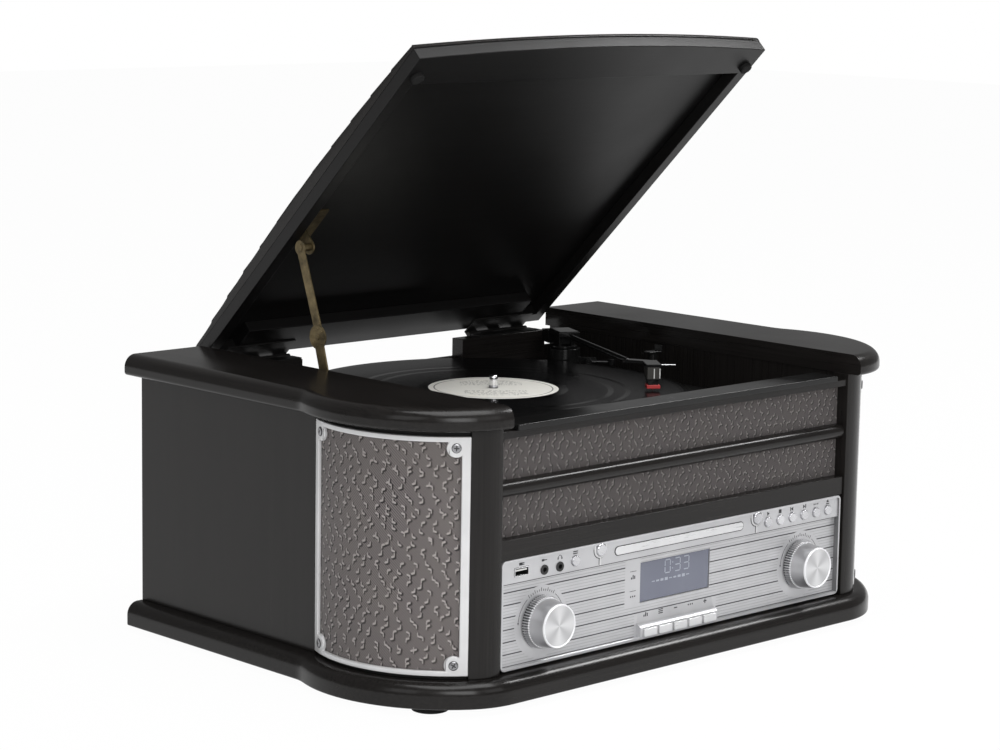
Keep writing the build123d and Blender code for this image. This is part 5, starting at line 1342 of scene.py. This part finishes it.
def make_knob(node, x, skirt_finish, face_finish):
    """A turned and ribbed knob with its beads; x is its axis in millimetres."""
    centre = at(x, knob_back, axis_z)
    knob = turned(node + "_turned", [
        (3.2, 0.0), (18.7, 0.0), (19.15, 0.3), (19.0, 2.4), (18.3, 4.6), (17.9, 4.9),
        (17.35, 5.0), (17.3, 5.1), (15.95, 16.6), (15.75, 17.3), (15.55, 18.2), (15.2, 18.65),
        (14.75, 18.65), (14.45, 18.3), (14.3, 17.95), (1.0, 17.9),
    ], 4 * rib_count, centre, "-Y")
    pick(knob)
    bpy.ops.object.mode_set(mode="EDIT")
    bpy.ops.mesh.select_mode(type="VERT")
    bpy.ops.mesh.select_all(action="DESELECT")
    mesh = bmesh.from_edit_mesh(knob.data)
    for vertex in mesh.verts:
        out = vertex.co - centre
        turn = round(atan2(out.z, out.x) % (2 * pi) * 2 * rib_count / pi)
        vertex.select = 0.2 < -out.y / MM < foot_length and turn % 4 < 2
    bmesh.update_edit_mesh(knob.data)
    bpy.ops.transform.resize(value=(pulled_in, 1, pulled_in), center_override=centre)
    leave_edit()
    bpy.ops.mesh.primitive_uv_sphere_add(segments=10, ring_count=6, radius=bead_size * MM)
    bead = bpy.context.object
    beads = []
    for rib in range(rib_count):
        turn = 2 * pi * (rib + 0.6) / rib_count
        aside, rise = cos(turn) * bead_circle, sin(turn) * bead_circle
        place = centre + Vector((aside, -bead_depth, rise)) * MM
        beads.append(copy_to(bead, f"bead_{rib}", place, (0, -1, 0)))
    bpy.data.objects.remove(bead)
    knob = join(node + "_turned", [knob, *beads])
    finish(knob, body_of[node], skirt_finish, "silver_trim", (node,), 40.0)
    foot_y, face_y = centre.y - 0.4 * MM, centre.y - 17.75 * MM

    def reach(place):
        return hypot(place.x - centre.x, place.z - centre.z)

    def in_groove(place, normal):
        turn = atan2(place.z - centre.z, place.x - centre.x) % (2 * pi) * 2 * rib_count / pi
        return 0.3 * MM < centre.y - place.y < foot_length * MM and abs(turn % 4 - 0.5) < 0.3

    def on_bead(place, normal):
        return 5.12 * MM < centre.y - place.y < 5.8 * MM and reach(place) > 17.36 * MM

    # Painted shadow: the back of the foot is black where the knob meets the panel.
    paint(knob, ink_and_shade_black, lambda place, normal: place.y > foot_y)
    # Painted glint: each bead is near white.
    paint(knob, painted_highlight, on_bead)
    # Painted shade: the grooves between the ribs are dark.
    paint(knob, dark_steel_and_shade, in_groove)
    paint(knob, face_finish, lambda place, normal: place.y < face_y)
    # Painted highlight on the polished rim round the face.
    paint(knob, painted_highlight, lambda place, normal: place.y < face_y and reach(place) > 14.35 * MM)
    return knob


make_knob("volume_knob", -knob_x * 1000, volume_skirt, volume_face)
right_knob = make_knob("tuning_knob", knob_x * 1000, tuning_skirt, tuning_face)
print("knob length", round(right_knob.dimensions.y, 4))

# %% [markdown]
# ## Small fittings on the panel
# Thin raised lines, such as the collars round the studs and the dark joint round the drawer,
# are rods swept along a path. A curve with a round bevel makes the rod, and it is turned into
# a mesh at once.

# %% Rod helper


def rod(name, places, radius, closed=False, steps=3):
    """A round rod through places, made into a mesh."""
    curve = bpy.data.curves.new(name, "CURVE")
    curve.dimensions = "3D"
    curve.bevel_depth = radius * MM
    curve.bevel_resolution = steps
    curve.use_fill_caps = True
    line = curve.splines.new("POLY")
    line.points.add(len(places) - 1)
    for point, place in zip(line.points, places):
        point.co = (*place, 1.0)
    line.use_cyclic_u = closed
    path = bpy.data.objects.new(name, curve)
    bpy.context.scene.collection.objects.link(path)
    pick(path)
    bpy.ops.object.convert(target="MESH")
    piece = bpy.context.object
    piece.name = piece.data.name = name
    return piece


def arc(x, z, radius, start, end, steps=16):
    """Points (x, z) round an arc of the panel, in degrees from the right."""
    turns = [radians(start + (end - start) * step / steps) for step in range(steps + 1)]
    return [(x + radius * cos(turn), z + radius * sin(turn)) for turn in turns]


def on_panel(points, depth):
    return [at(x, depth, z) for x, z in points]


# %% [markdown]
# ### Thin plates
# Print is a film of ink, modelled as plates a twelfth of a millimetre thick. One helper stamps
# a regular shape: four sides make a bar, three an arrowhead and many a dot.

# %% Stamp helper
ink_thickness = 0.08


def stamp(x, z, width, height, depth, sides=4, turn=0.0):
    """A thin plate on the panel: a circle of few sides, sized, turned and given a thickness."""
    deselect()
    first_turn, squared = (radians(45.0), 2 ** 0.5) if sides == 4 else (0.0, 1.0)
    bpy.ops.mesh.primitive_circle_add(
        vertices=sides, radius=0.5, fill_type="NGON", rotation=(0, 0, first_turn)
    )
    plate = bpy.context.object
    settle(plate)
    choose_all(plate)
    size = (width * squared * MM, height * squared * MM, 1)
    bpy.ops.transform.resize(value=size, center_override=(0, 0, 0))
    bpy.ops.mesh.extrude_region_move(TRANSFORM_OT_translate={"value": (0, 0, ink_thickness * MM)})
    bpy.ops.mesh.select_all(action="SELECT")
    bpy.ops.mesh.normals_make_consistent(inside=False)
    leave_edit()
    place = Matrix.Translation(at(x, depth, z)) @ Matrix.Rotation(radians(90), 4, "X")
    plate.data.transform(place @ Matrix.Rotation(radians(turn), 4, "Z"))
    return plate


# %% [markdown]
# ### Collars, seams and the drawer's joint
# Each stud sits in a U-shaped collar that opens upwards, and a raised seam runs from the collar
# down to the edge of the upper strip. A dark joint outlines the drawer front. Bands of shaded
# silver along the top and the bottom of the striped field are painted shadow, and so is a thin
# black line under the upper strip's ledge.

# %% Collars and joints
collar_radius, collar_top = 5.5, 101.6
collars = []
for side in (-1, 1):
    x = side * stud_x
    bend = arc(x, stud_z, collar_radius, 180, 360)
    cup = [(x - collar_radius, collar_top), *bend, (x + collar_radius, collar_top)]
    collars.append(rod(f"collar_{side}", on_panel(cup, strip_depth + 0.25), 0.75))
    down = on_panel([(x, stud_z - 5.6), (x, 86.1)], strip_depth + 0.05)
    collars.append(rod(f"seam_{side}", down, 0.6))
finish(join("stud_collars", collars), "case", silver_paint, "fascia_silver", (), 50.0)
drawer_z, drawer_half, joint_radius = 93.7, 68.95, 3.15
outline = arc(drawer_half - joint_radius, drawer_z, joint_radius, -90, 90) + arc(
    joint_radius - drawer_half, drawer_z, joint_radius, 90, 270)
joint = rod("drawer_joint", on_panel(outline, strip_depth + 0.1), 0.36, closed=True)
finish(joint, "case", ink_and_shade_black, "fascia_silver")
# Painted shadow: bands of shaded silver under the upper strip's ledge and at the foot of the
# striped field.
groove = [stamp(0, 85.0, 358.0, 1.5, stripe_depth), stamp(0, 25.4, 356.0, 1.2, stripe_depth)]
finish(join("panel_shadow_bands", groove), "case", shaded_silver, "fascia_silver")
# A thin black line under the ledge is painted shadow; the lines beside the seams and round the
# studs are dark gaps.
gaps_and_ledge_shadow = [stamp(0, 85.7, 358.0, 0.5, stripe_depth + 0.04)]
for side in (-1, 1):
    x = side * stud_x
    beside = on_panel([(x - 1.0, stud_z - 6.6), (x - 1.0, 86.3)], strip_depth)
    gaps_and_ledge_shadow.append(rod(f"gap_{side}", beside, 0.22))
    around = on_panel(arc(x, stud_z, 6.5, 175, 365), strip_depth)
    gaps_and_ledge_shadow.append(rod(f"ring_{side}", around, 0.24))
finish(join("collar_gaps_and_ledge_shadow", gaps_and_ledge_shadow), "case", ink_and_shade_black, "fascia_silver")

# %% [markdown]
# ### Shaded ledges
# The underside of the upper strip and the inner side of the rim on the right lie in shade. Those
# faces of the fascia get a darker coat, which is painted shade.

# %% Ledges
ledge_front, ledge_back = at(0, strip_depth + 1.0, 0).y, at(0, stripe_depth + 0.1, 0).y


def on_ledge(place, normal):
    """The underside of the upper strip, and the rim's inner side on the right."""
    under_strip = normal.z < -0.6 and abs(place.z - 85.8 * MM) < 1.2 * MM
    inside_rim = normal.x < -0.6 and place.x > 175 * MM
    return ledge_back > place.y > ledge_front and (under_strip or inside_rim)


print("ledge faces:", paint(fascia, shaded_silver, on_ledge))

# %% [markdown]
# ### Printed marks
# Every mark is a plain sign, such as play, stop or next, so it reads the same in any language.
# A table gives each sign its plates, and a second one gives each place its sign.

# %% Signs
sign_size = 1.55
signs = {
    "play": [(0, 0, 2.2, 2.4, 3, -90)],
    "stop": [(0, 0, 1.9, 1.9, 4, 0)],
    "previous": [(-1.2, 0, 0.5, 2.0, 4, 0), (0.2, 0, 2.2, 2.2, 3, 90)],
    "next": [(1.2, 0, 0.5, 2.0, 4, 0), (-0.2, 0, 2.2, 2.2, 3, -90)],
    "list": [(0, 0.9, 3.0, 0.45, 4, 0), (0, 0, 3.0, 0.45, 4, 0), (0, -0.9, 3.0, 0.45, 4, 0)],
    "open": [(0, 0.3, 2.4, 1.9, 3, 0), (0, -0.9, 2.2, 0.45, 4, 0)],
    "plus": [(0, 0, 2.2, 0.5, 4, 0), (0, 0, 0.5, 2.2, 4, 0)],
    "minus": [(0, 0, 2.2, 0.5, 4, 0)],
    "bars": [(-1.1, -0.5, 0.6, 1.0, 4, 0), (0, 0, 0.6, 2.0, 4, 0), (1.1, -0.2, 0.6, 1.6, 4, 0)],
    "plug": [(-0.6, 0, 2.0, 1.3, 4, 0), (1.0, 0.35, 1.2, 0.4, 4, 0), (1.0, -0.35, 1.2, 0.4, 4, 0)],
    "jack": [(-0.9, 0, 1.6, 1.0, 4, 0), (0.7, 0, 1.8, 0.4, 4, 0)],
    "pads": [(-1.2, -0.6, 0.7, 1.3, 12, 0), (1.2, -0.6, 0.7, 1.3, 12, 0)],
    "dots": [(-1.4, 0, 0.8, 0.8, 12, 0), (0, 0, 0.8, 0.8, 12, 0), (1.4, 0, 0.8, 0.8, 12, 0)],
}


def stamp_signs(placed, depth):
    """Stamps every plate of a list of (x, z, sign)."""
    return [
        stamp(
            x + sign_size * dx, z + sign_size * dz, sign_size * w, sign_size * h, depth, sides, turn
        )
        for x, z, sign in placed for dx, dz, w, h, sides, turn in signs[sign]
    ]


placed = [
    (-161.5, 98.4, "plug"), (-139.5, 97.9, "jack"), (-124.3, 97.9, "pads"), (-109.0, 99.6, "list")
]
placed += [
    (97 + 14 * number, 98.9, sign)
    for number, sign in enumerate(("play", "stop", "previous", "next", "dots", "open"))
]
marks = stamp_signs(placed, strip_depth)
marks.append(rod("band", on_panel(arc(-124.3, 97.6, 1.6, 0, 180), strip_depth), 0.2))
placed = [
    (-32 + 16 * number, 41.2, sign)
    for number, sign in enumerate(("bars", "list", "minus", "dots", "plus"))
]
placed += [(-46.2, 71.0, "bars"), (-46.2, 56.6, "dots")]
marks += stamp_signs(placed, stripe_depth)
marks += [stamp(-46.2, z, 6.4, 0.35, stripe_depth) for z in (75.2, 60.6)]
print("stamped marks:", len(marks))

# %% [markdown]
# Round each knob runs a fan of short ticks, with an arc on either side that ends in an arrowhead
# to show which way to turn.

# %% Dial marks
tick_radius, arrow_radius = 21.6, 22.3
for x in (-knob_x / MM, knob_x / MM):
    z = knob_z / MM
    for step in range(13):
        turn = 58 + 64 * step / 12
        length = 2.6 if step % 3 == 0 else 1.5
        (tick_x, tick_z), = arc(x, z, tick_radius + length / 2, turn, turn, 1)[:1]
        marks.append(stamp(tick_x, tick_z, length, 0.45, stripe_depth, 4, turn))
    for start, end in ((128, 176), (52, 12)):
        sweep = on_panel(arc(x, z, arrow_radius, start, end), stripe_depth)
        marks.append(rod("turn_arc", sweep, 0.17))
        (tip_x, tip_z), = arc(x, z, arrow_radius, end, end, 1)[:1]
        turn = 180 + end - (180 if start > 90 else 0)
        marks.append(stamp(tip_x, tip_z, 1.7, 2.2, stripe_depth, 3, turn))
finish(join("printed_marks", marks), "case", ink_and_shade_black, "fascia_silver")

# %% [markdown]
# ### Display figures
# A clock display draws each figure from seven bars. A short table says which bars each figure
# lights; the line below is a plain row of level blocks.

# %% Display figures
glass_depth, figure_z, bar_gap = 326.8, 73.6, 0.9
lit_bars = {"0": "abcdef", "3": "abcdg"}
figure_width, figure_height, bar_width = 5.6, 9.6, 0.75
bar_places = {
    "a": (0, figure_height / 2, 0), "d": (0, -figure_height / 2, 0), "g": (0, 0, 0),
    "b": (figure_width / 2, figure_height / 4, 1), "c": (figure_width / 2, -figure_height / 4, 1),
    "f": (-figure_width / 2, figure_height / 4, 1), "e": (-figure_width / 2, -figure_height / 4, 1),
}
figures = []
for figure, x in (("0", -9.0), ("3", 1.6), ("3", 11.0)):
    for bar in lit_bars[figure]:
        dx, dz, upright = bar_places[bar]
        width = bar_width if upright else figure_width - bar_gap
        height = figure_height / 2 - bar_gap if upright else bar_width
        figures.append(stamp(x + dx, figure_z + dz, width, height, glass_depth))
figures += [stamp(-3.7, figure_z + rise, 0.9, 0.9, glass_depth) for rise in (-2.2, 2.2)]
figures += [
    stamp(-24.0 + 4.6 * step, 64.4, 3.1, 0.7 + 0.5 * (step % 4), glass_depth) for step in range(9)
]
finish(join("display_figures", figures), "case", lcd_digit, "lens")
print("lit bars:", len(figures))

# %% [markdown]
# ### Socket details
# The USB socket is a bright shell round a dark space with a pale tongue near its roof. The
# faces are told apart by their place.

# %% Socket faces
usb_x, usb_half, usb_edge = 161.5, 5.6, -152 * MM
shell_front = at(0, 330.6, 0).y


def on_tongue(place, normal):
    """The tongue inside the USB socket, behind its shell's front."""
    across = place.x < usb_edge and abs(place.x + usb_x * MM) < usb_half * MM
    return across and 93.3 * MM < place.z < 94.8 * MM and place.y > shell_front


shell = paint(
    sockets, bright_steel, lambda place, normal: place.x < usb_edge and place.y < shell_front
)
print("shell faces:", shell, "tongue faces:", paint(sockets, socket_white, on_tongue))

# %% [markdown]
# ## Tonearm
# The arm is one dressed part. Its visible character comes from small things: a cartridge with
# two white marks and a red stylus guard, and a chrome finger lift.

# %% Arm places
arm_box_low, arm_box_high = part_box("cartridge")
cartridge_middle = (arm_box_low + arm_box_high) / 2
pivot = at(128.0, 79.0, 199.3)
arm_run = Vector((cartridge_middle.x - pivot.x, cartridge_middle.y - pivot.y, 0)).normalized()
arm_side = Vector((-arm_run.y, arm_run.x, 0))
print("cartridge at", [round(v, 4) for v in cartridge_middle])
print("arm runs", [round(v, 3) for v in arm_run])

# %% [markdown]
# ### Cartridge colours
# The lower part of the cartridge is a red guard over the stylus. It is found by its height, and
# the band above it, where the coils sit in the dark, is painted gloss black.

# %% Cartridge faces
cartridge = dressed["cartridge"]


def cut_level(piece, height):
    """Cuts a ring of edges round the piece at a height, so that a finish can end there."""
    choose_all(piece)
    bpy.ops.mesh.bisect(plane_co=(0, 0, height * MM), plane_no=(0, 0, 1))
    leave_edit()


guard_top, band_top = 188.3, 192.6
for level in (guard_top, band_top):
    cut_level(cartridge, level)
paint(cartridge, gloss_black, lambda place, normal: guard_top * MM < place.z < band_top * MM)
red_faces = paint(cartridge, guard_red, lambda place, normal: place.z < guard_top * MM)
print("guard faces:", red_faces)


def bar_on_arm(
    name, middle, length, width, height, material, body="arm", slot="cartridge_grey", edge=0.1
):
    """A small rounded block laid in the arm's own direction."""
    deselect()
    bpy.ops.mesh.primitive_cube_add(size=1)
    block = bpy.context.object
    block.name = block.data.name = name
    block.dimensions = (length * MM, width * MM, height * MM)
    settle(block)
    apply_bevel(block, edge, 2)
    turn = Matrix((arm_run, arm_side, Vector((0, 0, 1)))).transposed().to_4x4()
    block.data.transform(Matrix.Translation(middle) @ turn)
    return finish(block, body, material, slot)


# %% [markdown]
# ### Marks on the cartridge and the finger lift
# Two white marks on the front of the cartridge show where the stylus is. The finger lift is
# bare chrome; it is the part of the arm that stands out beyond the cartridge.

# %% Cartridge marks
front_reach = max((face.center - cartridge_middle).dot(arm_run) for face in cartridge.data.polygons
                  if face.normal.dot(arm_run) > 0.9 and face.center.z > band_top * MM)
for number, aside in enumerate((-2.4, 2.4)):
    middle = cartridge_middle + arm_run * front_reach + arm_side * aside * MM
    middle.z = 197.4 * MM
    bar_on_arm(f"cartridge_mark_{number}", middle, 0.3, 0.8, 7.6, print_white)


def on_lift(place, normal):
    """The part of the arm that stands out beside the cartridge."""
    aside = place - cartridge_middle
    return aside.dot(arm_side) > 9.3 * MM and abs(aside.dot(arm_run)) < 18 * MM


print("finger lift faces:", paint(dressed["tonearm"], chrome, on_lift))

# %% [markdown]
# ### Spindle
# The centre pin is chrome with a domed tip that guides the record down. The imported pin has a
# flat end, so it is cut from the platter's copy and a turned pin of the same height replaces it.

# %% Spindle pin
platter = dressed["platter"]
choose_all(platter)
bpy.ops.mesh.bisect(plane_co=(0, 0, 186 * MM), plane_no=(0, 0, 1), clear_outer=True, use_fill=True)
leave_edit()
pin = turned("spindle_pin", [
    (0.2, 185.8), (3.3, 185.8), (3.3, 191.2), (3.22, 192.2),
    (2.9, 193.0), (2.3, 193.8), (1.4, 194.2), (0.2, 194.35),
], 40, Vector((spindle.x, spindle.y, 0)))
finish(pin, "turntable", chrome, "platter_metal")
print("pin height", round(pin.dimensions.z, 4))

# %% [markdown]
# ### Screws in the lid's bumpers
# Each bumper is held by one small screw, sunk level with its face.

# %% Bumper screws
bumper_low, bumper_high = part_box("lid_bumpers")
bumper_screw = cross_head("bumper_screw", 1.6, 0.3)
lid_screws = []
for x in (bumper_low.x + 5 * MM, bumper_high.x - 5 * MM):
    centre = Vector((x, (bumper_low.y + bumper_high.y) / 2, (bumper_low.z + bumper_high.z) / 2))
    place = centre + lid_inward * 1.55 * MM
    lid_screws.append(
        copy_to(bumper_screw, f"bumper_head_{len(lid_screws)}", place, lid_inward)
    )
bpy.data.objects.remove(bumper_screw)
finish(join("bumper_screws", lid_screws), "lid", bright_steel, "foot_rubber")

# %% [markdown]
# ## Imports
# The last cell only imports json.

# %% Imports
import json
